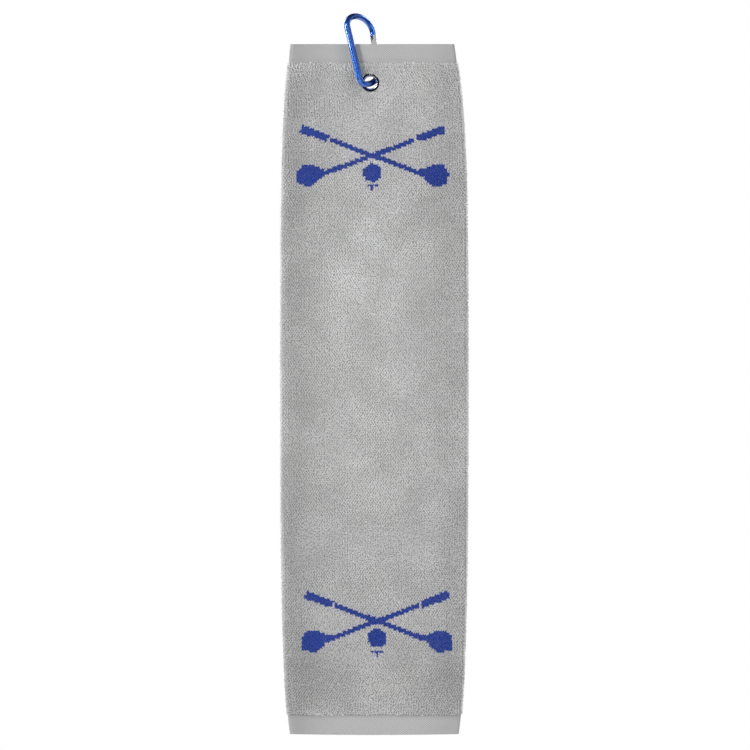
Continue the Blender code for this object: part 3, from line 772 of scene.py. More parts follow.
class ClothSettings(bpy.types.PropertyGroup):
    loop_height: length("Loop height", "How far the pile stands off its ground", 1.70, 0.5, 4)
    yarn_width: length("Yarn width", "Thickness of the pile yarn", 0.70, 0.2, 1.5)
    loop_span: length("Loop span", "Distance between a loop's two feet", 0.82, 0.3, 2)
    pair_pitch: length("Column pitch", "Distance from one pair of loop columns to the next", 1.85, 1, 4)
    row_pitch: length("Row pitch", "Distance between rows of loops", 1.45, 0.8, 4)
    back_pitch: length("Back pitch", "Distance between loops on the back layer", 1.70, 1, 4)
    rib_pitch: length("Rib pitch", "Distance between the ribs of the twill hems", 1.23, 0.5, 4)
    rib_depth: length("Rib depth", "Depth of the grooves between twill ribs", 0.28, 0, 0.5)
    stitch_pitch: length("Stitch pitch", "Length of one hem stitch", 2.60, 1, 6)
    thread_width: length("Thread width", "Thickness of the sewing thread", 0.34, 0.1, 1)
    seed: IntProperty(name="Seed", description="Changes how single loops lean", default=SEED, min=0)
    pile_colour: colour("Pile colour", "Dyed colour of the grey pile yarn", (0.665, 0.665, 0.665))
    twill_colour: colour("Twill colour", "Dyed colour of the hems", (0.385, 0.385, 0.385))
    motif_colour: colour("Motif colour", "Dyed colour of the motif's pile", (0.027, 0.062, 0.330))


class MetalSettings(bpy.types.PropertyGroup):
    anodised_colour: colour("Anodised colour", "Colour of the carabiner", (0.012, 0.102, 0.50))
    gate_colour: colour("Gate colour", "Colour of the bright gate", (0.80, 0.79, 0.81))
    eyelet_colour: colour("Eyelet colour", "Colour of the eyelet's plating", (0.035, 0.034, 0.038))
    edge_round: length("Edge rounding", "Rounding of the milled edges", 0.14, 0, 0.5)


class StageSettings(bpy.types.PropertyGroup):
    floor_drop: length("Floor drop", "How far the floor lies below the towel", 22, 0, 1000)
    key_power: power("Key light", "Strength of the large light at the upper left", 23.0)
    fill_power: power("Fill light", "Strength of the large light at the right", 8.0)
    surround: FloatProperty(name="Surround", description="Strength of the light from all round",
                            default=0.54, min=0.0)


def cloth():
    return bpy.context.scene.golf_towel_cloth


def metal():
    return bpy.context.scene.golf_towel_metal


def stage():
    return bpy.context.scene.golf_towel_stage


def pile_grey():
    return yarn_material("grey_pile", cloth().pile_colour)


def pile_blue():
    return yarn_material("blue_pile", cloth().motif_colour, fleck=0.45, shade_blotch=0.35, paint_shade=False, sheen=0.2)


def twill_grey():
    slope = math.radians(RIB_SLOPE)
    return woven_material("grey_twill_weave", cloth().twill_colour, cloth().rib_pitch / math.sin(slope),
                          1.0 / math.tan(slope), 0.25, 0.42)


def thread_grey():
    return yarn_material("grey_sewing_thread", cloth().twill_colour, fleck=0.4, shade_blotch=0.1, sheen=0.3,
                         fleck_scale=3000.0)


def steel():
    return metal_material("spring_steel", (0.52, 0.51, 0.50), (0.75, 0.74, 0.72), 0.3, 0.28)


# ---------------------------------------------------------------- cloth pieces

def write_map(obj, name, places):
    """Give a piece a map from one flat place for each of its points."""
    corners = np.zeros(len(obj.data.loops), int)
    obj.data.loops.foreach_get("vertex_index", corners)
    layer = obj.data.uv_layers.new(name=name)
    layer.data.foreach_set("uv", places[corners].ravel().astype("f"))


def bake_map(obj):
    """A flat map over the front for a piece of very many small faces."""
    points = np.zeros(len(obj.data.vertices) * 3)
    obj.data.vertices.foreach_get("co", points)
    points = points.reshape(-1, 3)[:, [0, 2]]
    low, high = points.min(0), points.max(0)
    write_map(obj, "OFBake", 0.01 + 0.98 * (points - low) / (high - low))
    return obj


def ground_grid():
    """Distances and heights of the ground's points; stations stay abreast from row to row."""
    near = spread(EYE_Z - CLAMP_REACH, EYE_Z + CLAMP_REACH * 0.6, 1.1 * MM)
    heights = np.concatenate([np.linspace(TERRY_TOP + 0.5 * MM, near[-1], 3)[:-1], near[::-1],
                              np.linspace(near[0], TERRY_BOTTOM - 0.5 * MM, 150)[1:]])
    widest = Fold(np.array(WIDE_PLACE))
    stations = section_stations(widest, 3.2 * MM, 1.2 * MM)
    base = [float(knot) for knot in widest.knots()]
    knots = np.stack(Fold(heights[:, None]).knots(), -1)[:, 0, :]
    s = np.stack([np.interp(stations, base, row) for row in knots])
    margin = SIDE_HEM_WIDTH - 1.0 * MM
    s[:, 0], s[:, -1] = margin, knots[:, -1] - margin
    return np.sort(s, axis=1), np.repeat(heights[:, None], len(stations), 1)


def from_eyelet(points):
    return np.hypot(points[..., 0] - EYE_X, points[..., 2] - EYE_Z)


def make_ground():
    """The woven ground: one folded sheet with a hole for the eyelet."""
    s, z = ground_grid()
    points, facing = Fold(z).place(s)
    half = GROUND_THICKNESS / 2
    both = [(points + facing * half).reshape(-1, 3), (points - facing * half).reshape(-1, 3)]
    points = points.reshape(-1, 3)
    quads = np.array(grid_faces(*s.shape))
    quads = quads[from_eyelet(points[quads].mean(1)) > HOLE_RADIUS + 0.1 * MM]
    # An edge that belongs to one face only is on the sheet's rim or round its hole
    edges = {(a, b) for quad in quads for a, b in zip(quad, np.roll(quad, -1))}
    rim = sorted((a, b) for a, b in edges if (b, a) not in edges)
    for a, _ in rim:
        reach = math.hypot(points[a][0] - EYE_X, points[a][2] - EYE_Z)
        if reach < HOLE_RADIUS + 3 * MM:
            for side in both:
                side[a, 0] = EYE_X + (side[a, 0] - EYE_X) * HOLE_RADIUS / reach
                side[a, 2] = EYE_Z + (side[a, 2] - EYE_Z) * HOLE_RADIUS / reach
    count = len(points)
    faces = [*quads, *(quad[::-1] + count for quad in quads)]
    faces += [(b, a, a + count, b + count) for a, b in rim]
    # painted shade: the ground's colour is the pile's made darker, so the pits between the loops read as
    # shaded
    material = woven_material("grey_ground_weave", tuple(c * 0.62 for c in cloth().pile_colour),
                              0.9 * MM, 0.0, 1.0, 0.35)
    obj = raw_mesh("ground_cloth", np.concatenate(both), faces, material)
    write_map(obj, "cloth", np.tile(np.stack([s.ravel(), z.ravel()], -1), (2, 1)))
    with edited(obj.data) as bm:
        loose = [v for v in bm.verts if not v.link_faces]
        bmesh.ops.delete(bm, geom=loose, context="VERTS")
    return obj


def hem_profile(top):
    """Closed section of a turned hem: (height, thickness, rib share); its fold is the cloth's end."""
    half = BAND_THICKNESS / 2
    end, start = (TOWEL_TOP, TERRY_TOP) if top else (TOWEL_BOTTOM, TERRY_BOTTOM)
    sign = 1.0 if top else -1.0
    rows = [(start + (end - start) * step / 34.0, half, 1.0) for step in range(33)]
    rows[0] = (start, half * 0.72, 0.3)
    bend = end - sign * half
    for step in range(1, 8):
        angle = math.radians(90 - 180 * step / 8)
        rows.append((bend + sign * half * math.cos(angle), half * math.sin(angle), 0.6))
    for step in range(5):
        rows.append((bend + (start - bend) * step / 4.0, -half, 0.0))
    return rows


def closed_hem(name, rings, maps):
    """A hem from rings of points along it, with its ends closed and the cloth's own map."""
    rows, columns = len(rings), len(rings[0])
    faces = grid_faces(rows, columns, closed_rows=True)
    start, end = range(0, rows * columns, columns), range(columns - 1, rows * columns, columns)
    faces += [start, end[::-1]]
    obj = raw_mesh(name, np.concatenate(rings), faces, twill_grey())
    face_out(obj.data)
    write_map(obj, "cloth", np.concatenate(maps))
    obj.data.shade_smooth()
    return obj


def make_hem(name, top):
    """A turned twill hem along one end, with its diagonal ribs raised."""
    middle = (TOWEL_TOP + TERRY_TOP) / 2 if top else (TOWEL_BOTTOM + TERRY_BOTTOM) / 2
    stitch_z = TERRY_TOP + STITCH_INSET if top else TERRY_BOTTOM - STITCH_INSET
    count = int(float(Fold(np.array(middle)).length()) / (0.42 * MM))
    slope = math.radians(RIB_SLOPE)
    pitch = cloth().rib_pitch
    rings, maps = [], []
    for z, proud, rib in hem_profile(top):
        fold = Fold(np.full(count, z))
        s = np.linspace(0.0, 1.0, count) * fold.length()
        centre = fold.on_front(AXIS_X)
        phase = ((s - centre) * math.sin(slope) + z * math.cos(slope)) / pitch
        groove = (0.5 - 0.5 * np.cos(math.tau * phase)) ** 0.7
        pull = np.exp(-((z - stitch_z) / (0.55 * MM)) ** 2) * 0.16 * MM
        depth = proud - rib * (cloth().rib_depth * (1.0 - groove) + pull) * (1 if proud > 0 else 0)
        placed, _ = fold.place(s, depth)
        if not top:
            across = (placed[:, 0] - AXIS_X) / (FULL_WIDTH / 2)
            placed[:, 2] -= 0.75 * MM * np.clip(1.0 - across ** 2, 0, 1) * (TERRY_BOTTOM - z) / BAND_HEIGHT
        rings.append(placed)
        maps.append(np.stack([s - centre - 0.25 * pitch / math.sin(slope), np.full(count, z)], -1))
    return closed_hem(name, rings, maps)


def make_side_hem(name, at_start):
    """A turned hem down one long edge; the back's free edge or the hidden inner one."""
    heights = np.linspace(TERRY_TOP - 0.1 * MM, TERRY_BOTTOM + 0.1 * MM, 260)
    half = SIDE_HEM_THICKNESS / 2
    width = SIDE_HEM_WIDTH
    ring = [(width, half * 0.55), (width - 0.35 * MM, half * 0.9), (width - 1.1 * MM, half),
            (width - STITCH_INSET, half * 0.86), (width - 4.0 * MM, half), (half + 0.2 * MM, half)]
    ring += [(half - half * math.sin(math.radians(a)), half * math.cos(math.radians(a)))
             for a in range(20, 161, 20)]
    ring += [(half + 0.2 * MM, -half), (width, -half)]
    fold = Fold(heights)
    wobble = rng(3).normal(0.0, 1.0)
    wave = 0.16 * MM * np.sin(heights * 160.0 + wobble) + 0.10 * MM * np.sin(heights * 410.0)
    rings, maps = [], []
    for along, proud in ring:
        inset = np.full(len(heights), along) + (wave if along < 2 * MM else 0.0)
        s = inset if at_start else fold.length() - inset
        rings.append(fold.place(s, proud)[0])
        maps.append(np.stack([s, heights], -1))
    return closed_hem(name, rings, maps)


# ---------------------------------------------------------------- pile

def instance_tree(name, sizes, build):
    """A tree that puts one built shape on every point, turned and sized by the points' attributes."""
    tree = bpy.data.node_groups.new(name, "GeometryNodeTree")
    for label, kind, default in [("Geometry", "Geometry", None), *[(k, "Float", v) for k, v in sizes],
                                 ("Seed", "Int", SEED), ("Material", "Material", None)]:
        socket = tree.interface.new_socket(label, in_out="INPUT", socket_type="NodeSocket" + kind)
        if default is not None:
            socket.default_value = default
    tree.interface.new_socket("Geometry", in_out="OUTPUT", socket_type="NodeSocketGeometry")
    given = tree.nodes.new("NodeGroupInput").outputs
    turn, size = (node(tree, "GeometryNodeInputNamedAttribute", {"Name": label},
                       data_type="FLOAT_VECTOR").outputs[0] for label in ("turn", "size"))
    euler = node(tree, "FunctionNodeEulerToRotation", {0: turn}).outputs[0]
    chance = node(tree, "FunctionNodeRandomValue", {0: (0.88, 0.90, 0.90), 1: (1.12, 1.10, 1.10),
                                                    "Seed": given["Seed"]}, data_type="FLOAT_VECTOR")
    scale = node(tree, "ShaderNodeVectorMath", {0: size, 1: chance.outputs[0]}, operation="MULTIPLY")
    made = node(tree, "GeometryNodeInstanceOnPoints", {
        "Points": given["Geometry"], "Instance": build(tree, given), "Rotation": euler,
        "Scale": scale.outputs[0]})
    for kind, inputs in (("GeometryNodeRealizeInstances", {}), ("GeometryNodeSetShadeSmooth", {}),
                         ("GeometryNodeSetMaterial", {"Material": given["Material"]})):
        made = node(tree, kind, {"Geometry": made.outputs[0], **inputs})
    node(tree, "NodeGroupOutput", {"Geometry": made.outputs[0]})
    return tree


def arch(tree, given, span, height, width, foot, sides, steps):
    """A bent tube from foot to foot, closed at both ends; sizes are socket names."""
    half, wide, high, radius = (math_node(tree, "MULTIPLY", given[label], share) for label, share in (
        (span, 0.5), (span, 0.62), (height, 4.0 / 3.0), (width, 0.5)))
    corners = {}
    for label, reach, side, up in (("Start", half, -1.0, foot), ("Start Handle", wide, -1.0, high),
                                   ("End Handle", wide, 1.0, high), ("End", half, 1.0, foot)):
        across = math_node(tree, "MULTIPLY", reach, side)
        corners[label] = node(tree, "ShaderNodeCombineXYZ", {"X": across, "Z": up}).outputs[0]
    segment = node(tree, "GeometryNodeCurvePrimitiveBezierSegment", {"Resolution": steps, **corners},
                   mode="POSITION")
    ring = node(tree, "GeometryNodeCurvePrimitiveCircle", {"Resolution": sides, "Radius": radius},
                mode="RADIUS")
    return node(tree, "GeometryNodeCurveToMesh", {
        "Curve": segment.outputs[0], "Profile Curve": ring.outputs["Curve"],
        "Fill Caps": True}).outputs["Mesh"]


def loops_tree():
    return bpy.data.node_groups.get("pile_loops") or instance_tree(
        "pile_loops", [("Yarn Width", 0.7 * MM), ("Loop Span", 1.0 * MM), ("Loop Height", 1.7 * MM)],
        lambda tree, given: arch(tree, given, "Loop Span", "Loop Height", "Yarn Width", -0.15 * MM, 3, 3))


def stitch_tree():
    return bpy.data.node_groups.get("stitches") or instance_tree(
        "stitches", [("Thread Width", 0.34 * MM), ("Stitch Length", 2.2 * MM), ("Rise", 0.2 * MM)],
        lambda tree, given: arch(tree, given, "Stitch Length", "Rise", "Thread Width", -0.22 * MM, 5, 5))


def scatter(name, tree, places, turns, sizes, inputs, material):
    """Points with their turns and sizes, made real by a tree."""
    mesh = bpy.data.meshes.new(name)
    mesh.vertices.add(len(places))
    mesh.vertices.foreach_set("co", np.asarray(places, "f").ravel())
    for label, values in (("turn", turns), ("size", sizes)):
        mesh.attributes.new(label, "FLOAT_VECTOR", "POINT").data.foreach_set(
            "vector", np.asarray(values, "f").ravel())
    obj = link(bpy.data.objects.new(name, mesh))
    modifier = obj.modifiers.new("make", "NODES")
    modifier.node_group = tree
    values = {**inputs, "Seed": cloth().seed, "Material": material}
    for item in tree.interface.items_tree:
        if item.in_out == "INPUT" and item.name in values:
            modifier[item.identifier] = values[item.name]
    bpy.context.view_layer.update()
    settle(obj)
    for label in ("turn", "size"):
        if label in obj.data.attributes:
            obj.data.attributes.remove(obj.data.attributes[label])
    return obj


def unit(vectors):
    return vectors / np.linalg.norm(vectors, axis=-1, keepdims=True)


def turn_angles(facing, along):
    """Euler angles that put local Z on facing and local X near along."""
    z = unit(facing)
    x = unit(along - z * np.sum(along * z, -1, keepdims=True))
    y = np.cross(z, x)
    return np.stack([np.arctan2(y[:, 2], z[:, 2]), np.arcsin(np.clip(-x[:, 2], -1, 1)),
                     np.arctan2(x[:, 1], x[:, 0])], -1)


def bar_places():
    """Points along the bar and the closed or open gate, in the rest pose, with their half widths."""
    line, _, _, (pivot_u, pivot_w), shoulder = carabiner_outline(8)
    places = [(u, w, 2.6 * MM) for u, w in line]
    for angle in GATE_ANGLES:
        for share in np.linspace(0.0, 1.0, 12):
            reach = (shoulder - NOSE_SHOULDER - pivot_w) * share
            places.append((pivot_u - reach * math.sin(math.radians(angle)),
                           pivot_w + reach * math.cos(math.radians(angle)), GATE_RADIUS + 0.1 * MM))
    return (np.array([tuple(PLANE @ Vector((u, 0.0, w))) for u, w, _ in places]),
            np.array([radius for _, _, radius in places]))


def free_height(places):
    """How high a loop may stand before the bar could brush it, however the towel swings."""
    bar, radii = bar_places()
    free = np.full(len(places), 9.0 * MM)
    near = from_eyelet(places) < BAR_REACH
    best = np.full(int(near.sum()), 1.0)
    x, z = bar[:, 0] - EYE_X, bar[:, 2] - EYE_Z
    for angle in SWING_ANGLES:
        turned = np.stack([EYE_X + x * math.cos(angle) + z * math.sin(angle), bar[:, 1],
                           EYE_Z - x * math.sin(angle) + z * math.cos(angle)], -1)
        for place, radius in zip(turned, radii):
            best = np.minimum(best, np.linalg.norm(places[near] - place, axis=1) - radius)
    free[near] = best - PILE_CLEARANCE
    return free


def lean_field(x, z):
    """The slow sideways and downward lean of the pile, where hands and washing laid it over."""
    u, v = x / (21 * MM), z / (29 * MM)
    sideways = 0.22 * np.sin(u + 1.7 * np.sin(v * 0.7)) + 0.16 * np.sin(2.3 * u - 1.1 * v + 0.5)
    down = -0.12 + 0.20 * np.sin(1.3 * v + 0.8 * np.sin(u * 1.3)) + 0.12 * np.sin(2.9 * v + 1.9 * u)
    return sideways, down


def back_row(fold, row):
    """Distances of one row of loops on the back, each second row half a pitch along."""
    pitch, end = cloth().back_pitch, float(fold.back[row])
    places = np.arange(SIDE_HEM_WIDTH + 0.5 * MM, end, pitch) + (row % 2) * pitch / 2
    places = places[places < end]
    return places, np.arange(len(places))


def front_row(fold, row):
    """Distances of one row of paired loops on the front and both folds, with their columns."""
    column = np.arange(-90, 90)
    middle = fold.on_front(AXIS_X)[row] + column[:, None] * cloth().pair_pitch
    places, column = (middle + np.array([[-PAIR_HALF, PAIR_HALF]])).ravel(), np.repeat(column, 2)
    end = fold.front_start()[row] + fold.front[row] + fold.right_fold
    inside = (places > fold.back[row]) & (places < end)
    return places[inside], column[inside]


def lattice(back):
    """Every loop's distance along the section, height, cell column and cell row."""
    random = rng(11 if back else 10)
    pitch = cloth().back_pitch if back else cloth().row_pitch
    heights = np.arange(FIRST_ROW, LAST_ROW, -pitch)
    fold = Fold(heights)
    rows = [(back_row if back else front_row)(fold, row) for row in range(len(heights))]
    s, column = (np.concatenate(parts) for parts in zip(*rows))
    row = np.repeat(np.arange(len(heights)), [len(places) for places, _ in rows])
    stagger = np.where(np.arange(len(s)) % 2, 0.25, -0.25) * pitch
    s = s + random.normal(0.0, COLUMN_JITTER, len(s))
    z = heights[row] + (0.0 if back else stagger) + random.normal(0.0, ROW_JITTER, len(s))
    z = np.clip(z, TERRY_BOTTOM + 0.15 * MM, TERRY_TOP - 0.15 * MM)
    return s, z, column, row


def motif_cells(column, row):
    """Which motif each lattice cell belongs to, tested at the cell's middle so its edge is stepped."""
    x = AXIS_X + column * cloth().pair_pitch
    z = FIRST_ROW - row * cloth().row_pitch
    return in_motif(x, z)


def pile_points(back):
    """Places, turns, sizes and motif number of every loop on one side."""
    s, z, column, row = lattice(back)
    random = rng(21 if back else 20)
    fold = Fold(z)
    places, facing = fold.place(s, GROUND_THICKNESS / 2)
    middle = fold.place(s)[0]
    motif = np.zeros(len(s), int) if back else motif_cells(column, row)
    motif[(s < fold.front_start()) | (s > fold.front_start() + fold.front)] = 0
    sideways, down = lean_field(places[:, 0], places[:, 2])
    level = facing[:, 1] ** 2
    lean = np.stack([(sideways + random.normal(0, LEAN_SPREAD, len(s))) * level, np.zeros(len(s)),
                     (down + random.normal(0, LEAN_SPREAD, len(s))) * (0.4 + 0.6 * level)], -1)
    yaw = random.normal(0.0, YAW_SPREAD, len(s))
    along = UP * np.cos(yaw)[:, None] + np.cross(facing, UP) * np.sin(yaw)[:, None]
    height = random.uniform(LOWEST_LOOP, TALLEST_LOOP, len(s))
    height = np.where(motif > 0, height * 0.94, height) * (0.74 + 0.26 * level)
    limit = free_height(places) / cloth().loop_height
    keep = (limit > 0.25) & (from_eyelet(middle) > EYELET_OUTER + 0.42 * MM)
    wide = np.full(len(s), BACK_LOOP_WIDTH if back else 1.0)
    sizes = np.stack([wide, wide, np.minimum(height, limit)], -1)
    turns = turn_angles(facing + lean, along)
    return places[keep], turns[keep], sizes[keep], motif[keep]


def make_pile(prefix, points, count, material):
    """Split the loops into bands down the towel, each one a piece."""
    inputs = {"Yarn Width": cloth().yarn_width, "Loop Span": cloth().loop_span,
              "Loop Height": cloth().loop_height}
    order = np.argsort(-points[0][:, 2], kind="stable")
    made = []
    for number, chosen in enumerate(np.array_split(order, count), 1):
        name = f"{prefix}_{number}" if count > 1 else prefix
        made.append(bake_map(scatter(name, loops_tree(), *[part[chosen] for part in points], inputs,
                                     material)))
    return made


def make_motif_ground():
    """A thin layer of blue ground under each motif, cell by cell, with the same stepped edge."""
    verts, index, faces = [], {}, []

    def corner(column, row, level):
        key = (column, row, level)
        if key not in index:
            fold = Fold(np.array([FIRST_ROW - (row - 0.5) * cloth().row_pitch]))
            s = fold.on_front(AXIS_X + (column - 0.5) * cloth().pair_pitch)
            proud = GROUND_THICKNESS / 2 + (0.10 * MM if level else -0.10 * MM)
            index[key] = len(verts)
            verts.append(fold.place(s, proud)[0][0])
        return index[key]

    columns, rows = np.meshgrid(np.arange(-40, 40), np.arange(0, 340), indexing="ij")
    filled = motif_cells(columns, rows) > 0
    inside = set(zip(columns[filled].tolist(), rows[filled].tolist()))
    for i, j in sorted(inside):
        ring = [(i, j), (i + 1, j), (i + 1, j + 1), (i, j + 1)]
        faces.append([corner(*place, 1) for place in ring])
        faces.append([corner(*place, 0) for place in ring[::-1]])
        beyond = [(i, j - 1), (i + 1, j), (i, j + 1), (i - 1, j)]
        for a, b, other in zip(ring, ring[1:] + ring[:1], beyond):
            if other not in inside:
                faces.append([corner(*a, 0), corner(*b, 0), corner(*b, 1), corner(*a, 1)])
    # painted shade: the blue ground's colour is the motif's made darker, so the gaps between its loops read
    # as shaded
    obj = raw_mesh("motif_ground", verts, faces, yarn_material(
        "blue_ground", tuple(c * 0.75 for c in cloth().motif_colour), paint_shade=False, sheen=0.1))
    obj.data.shade_flat()
    face_out(obj.data)
    return obj


# ---------------------------------------------------------------- stitches and loose threads

def stitch_row(name, s, z, proud):
    """Stitches along a line of distances and heights on the sheet."""
    points, facing = Fold(z).place(s, proud)
    middle = (points[1:] + points[:-1]) / 2
    turns = turn_angles(facing[1:], points[1:] - points[:-1])
    inputs = {"Thread Width": cloth().thread_width, "Stitch Length": cloth().stitch_pitch * 0.84,
              "Rise": 0.20 * MM}
    return scatter(name, stitch_tree(), middle, turns, np.ones((len(middle), 3)), inputs, thread_grey())


def make_stitches():
    """The seams of both end hems and both side hems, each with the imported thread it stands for."""
    pitch = cloth().stitch_pitch
    made = []
    for name, z in (("top_hem", TERRY_TOP + STITCH_INSET), ("bottom_hem", TERRY_BOTTOM - STITCH_INSET)):
        s = np.arange(1.5 * MM, float(Fold(np.array(z)).length()) - 1.0 * MM, pitch)
        made.append((stitch_row(name + "_stitches", s, np.full(len(s), z),
                                BAND_THICKNESS / 2 - 0.22 * MM), name + "_thread"))
    z = np.arange(TERRY_TOP - 2 * MM, TERRY_BOTTOM + 2 * MM, -pitch)
    inset = SIDE_HEM_WIDTH - STITCH_INSET
    for name, s in (("outer_side", np.full(len(z), inset)), ("inner_side", Fold(z).length() - inset)):
        made.append((stitch_row(name + "_stitches", s, z, SIDE_HEM_THICKNESS / 2 * 0.86),
                     name + "_thread"))
    return made


def make_loose_threads():
    """A pulled loop at the lower left hem line, a few stray ends and specks of lint."""
    random = rng(5)
    curve = bpy.data.curves.new("loose_threads", "CURVE")
    curve.dimensions = "3D"
    curve.bevel_depth = 0.30 * MM
    curve.bevel_resolution = 1
    curve.use_fill_caps = True
    curls = [((-45.5, TERRY_BOTTOM / MM + 1.7), 4.6, 0.4), ((-42.0, TERRY_BOTTOM / MM + 0.9), 3.2, 2.2)]
    curls += [((random.uniform(-48, 48), TERRY_BOTTOM / MM + random.uniform(-0.4, 0.8)), 1.2,
               random.uniform(0, 6)) for _ in range(9)]
    curls += [((random.uniform(-48, 48), TERRY_TOP / MM + random.uniform(-0.8, 0.6)), 1.0,
               random.uniform(0, 6)) for _ in range(7)]
    for (dx, z), size, phase in curls:
        x = AXIS_X + dx * MM
        if abs(x - EYE_X) < 22 * MM and z * MM > EYE_Z - 30 * MM:
            continue
        spline = curve.splines.new("POLY")
        steps = 14
        spline.points.add(steps)
        for step in range(steps + 1):
            angle = phase + 4.2 * step / steps
            radius = size * MM * (0.55 + 0.45 * step / steps) / 2
            fold = Fold(np.array([z * MM + 0.8 * radius * math.sin(angle)]))
            along = fold.on_front(x + 1.5 * radius * math.cos(angle))
            rise = (2.0 + 0.7 * math.sin(math.pi * step / steps)) * MM if size > 2 else 1.0 * MM
            spline.points[step].co = (*fold.place(along, rise)[0][0], 1.0)
    bent = link(bpy.data.objects.new("bent", curve))
    graph = bpy.context.evaluated_depsgraph_get()
    mesh = bpy.data.meshes.new_from_object(bent.evaluated_get(graph), depsgraph=graph)
    bpy.data.objects.remove(bent, do_unlink=True)
    mesh.name = "loose_threads"
    mesh.materials.clear()
    mesh.materials.append(pile_grey())
    weld(mesh)
    mesh.shade_smooth()
    return link(bpy.data.objects.new("loose_threads", mesh))


# ---------------------------------------------------------------- metal pieces

def make_eyelet():
    """Front flange and barrel in one stamping, rolled over its washer at the back."""
    front, back, sheet, lip = 1.90 * MM, -2.30 * MM, 0.35 * MM, 1.30 * MM
    centre = EYELET_BORE + lip
    inner = lip - sheet
    front_centre, back_centre = (centre, front - lip), (centre, back + lip)
    profile = [(EYELET_OUTER, front - 0.20 * MM), (EYELET_OUTER + 0.02 * MM, front - 0.28 * MM),
               (EYELET_OUTER - 0.02 * MM, front - sheet)]
    profile += arc(front_centre, inner, 90, 180, 10) + arc(back_centre, inner, 180, 270, 10)
    profile += [(6.06 * MM, back + sheet), (6.10 * MM, back + sheet * 0.5), (6.04 * MM, back + 0.05 * MM)]
    profile += arc(back_centre, lip, 270, 180, 14) + arc(front_centre, lip, 180, 90, 14)
    profile += [(5.95 * MM, front - 0.02 * MM), (6.30 * MM, front - 0.07 * MM),
                (6.48 * MM, front - 0.13 * MM)]
    place = Matrix.Translation((EYE_X, 0.0, EYE_Z)) @ Matrix.Rotation(math.radians(90), 4, "X")
    # the light grey is the painted highlight on the eyelet's lip
    return lathe("eyelet", profile, eyelet_material(tuple(metal().eyelet_colour), (0.86, 0.86, 0.88)),
                 place, steps=96, closed=True)


def carabiner_outline(fine=24):
    """Centre line of the bar from the nose's tip round to the hinge tang's tip."""
    top = BAR_RADIUS
    shoulder = top - NOSE_DROP
    points = [(NOSE_SIDE, shoulder - NOSE_TONGUE), (NOSE_SIDE, shoulder - NOSE_TONGUE / 2)]
    points += arc((0.0, shoulder), (NOSE_SIDE, NOSE_DROP), 0, 90, fine * 2)
    lean = math.degrees(math.atan(SPINE_LEAN * SPINE_CORNER_DROP / SPINE_SIDE))
    points += arc((0.0, top - SPINE_CORNER_DROP), (SPINE_SIDE, SPINE_CORNER_DROP), 90, 180 + lean,
                  fine + fine // 2)[1:]
    spine_top = points[-1]
    slope = math.hypot(SPINE_LEAN, 1.0)
    run = SPINE_LENGTH / slope
    for step in range(1, fine):
        part = run * step / fine
        points.append((spine_top[0] + SPINE_LEAN * part, spine_top[1] - part))
    foot = (spine_top[0] + SPINE_LEAN * run, spine_top[1] - run)
    width, rise = BASE_CORNER
    lean = math.degrees(math.atan(SPINE_LEAN * rise / width))
    turn = math.radians(lean)
    centre = (foot[0] + width * math.cos(turn), foot[1] + rise * math.sin(turn))
    points += arc(centre, (width, rise), 180 + lean, 270, fine)
    base = centre[1] - rise
    points += arc((centre[0], base + BASE_RISE), (NOSE_SIDE - centre[0], BASE_RISE), 270, 360,
                  fine + fine // 2)[1:]
    pivot = (NOSE_SIDE, base + BASE_RISE + PIVOT_RISE)
    points.append((NOSE_SIDE, pivot[1] + TANG_TIP))
    return points, spine_top, foot, pivot, shoulder


def bar_section(tangent, flat, sides=56):
    """Ring of offsets round the bar: round where flat is 0, pressed to two flat faces where it is 1."""
    across = Vector((tangent.z, 0.0, -tangent.x))
    wide = BAR_RADIUS + (SPINE_WIDTH / 2 - BAR_RADIUS) * flat
    deep = BAR_RADIUS + (SPINE_THICKNESS / 2 - BAR_RADIUS) * flat
    power = 1.0 - 0.52 * flat
    ring = []
    for side in range(sides):
        angle = math.tau * (side + 0.5) / sides
        cosine, sine = math.cos(angle), math.sin(angle)
        ring.append(across * math.copysign(abs(cosine) ** power, cosine) * wide
                    + Vector((0.0, math.copysign(abs(sine) ** power, sine) * deep, 0.0)))
    return ring


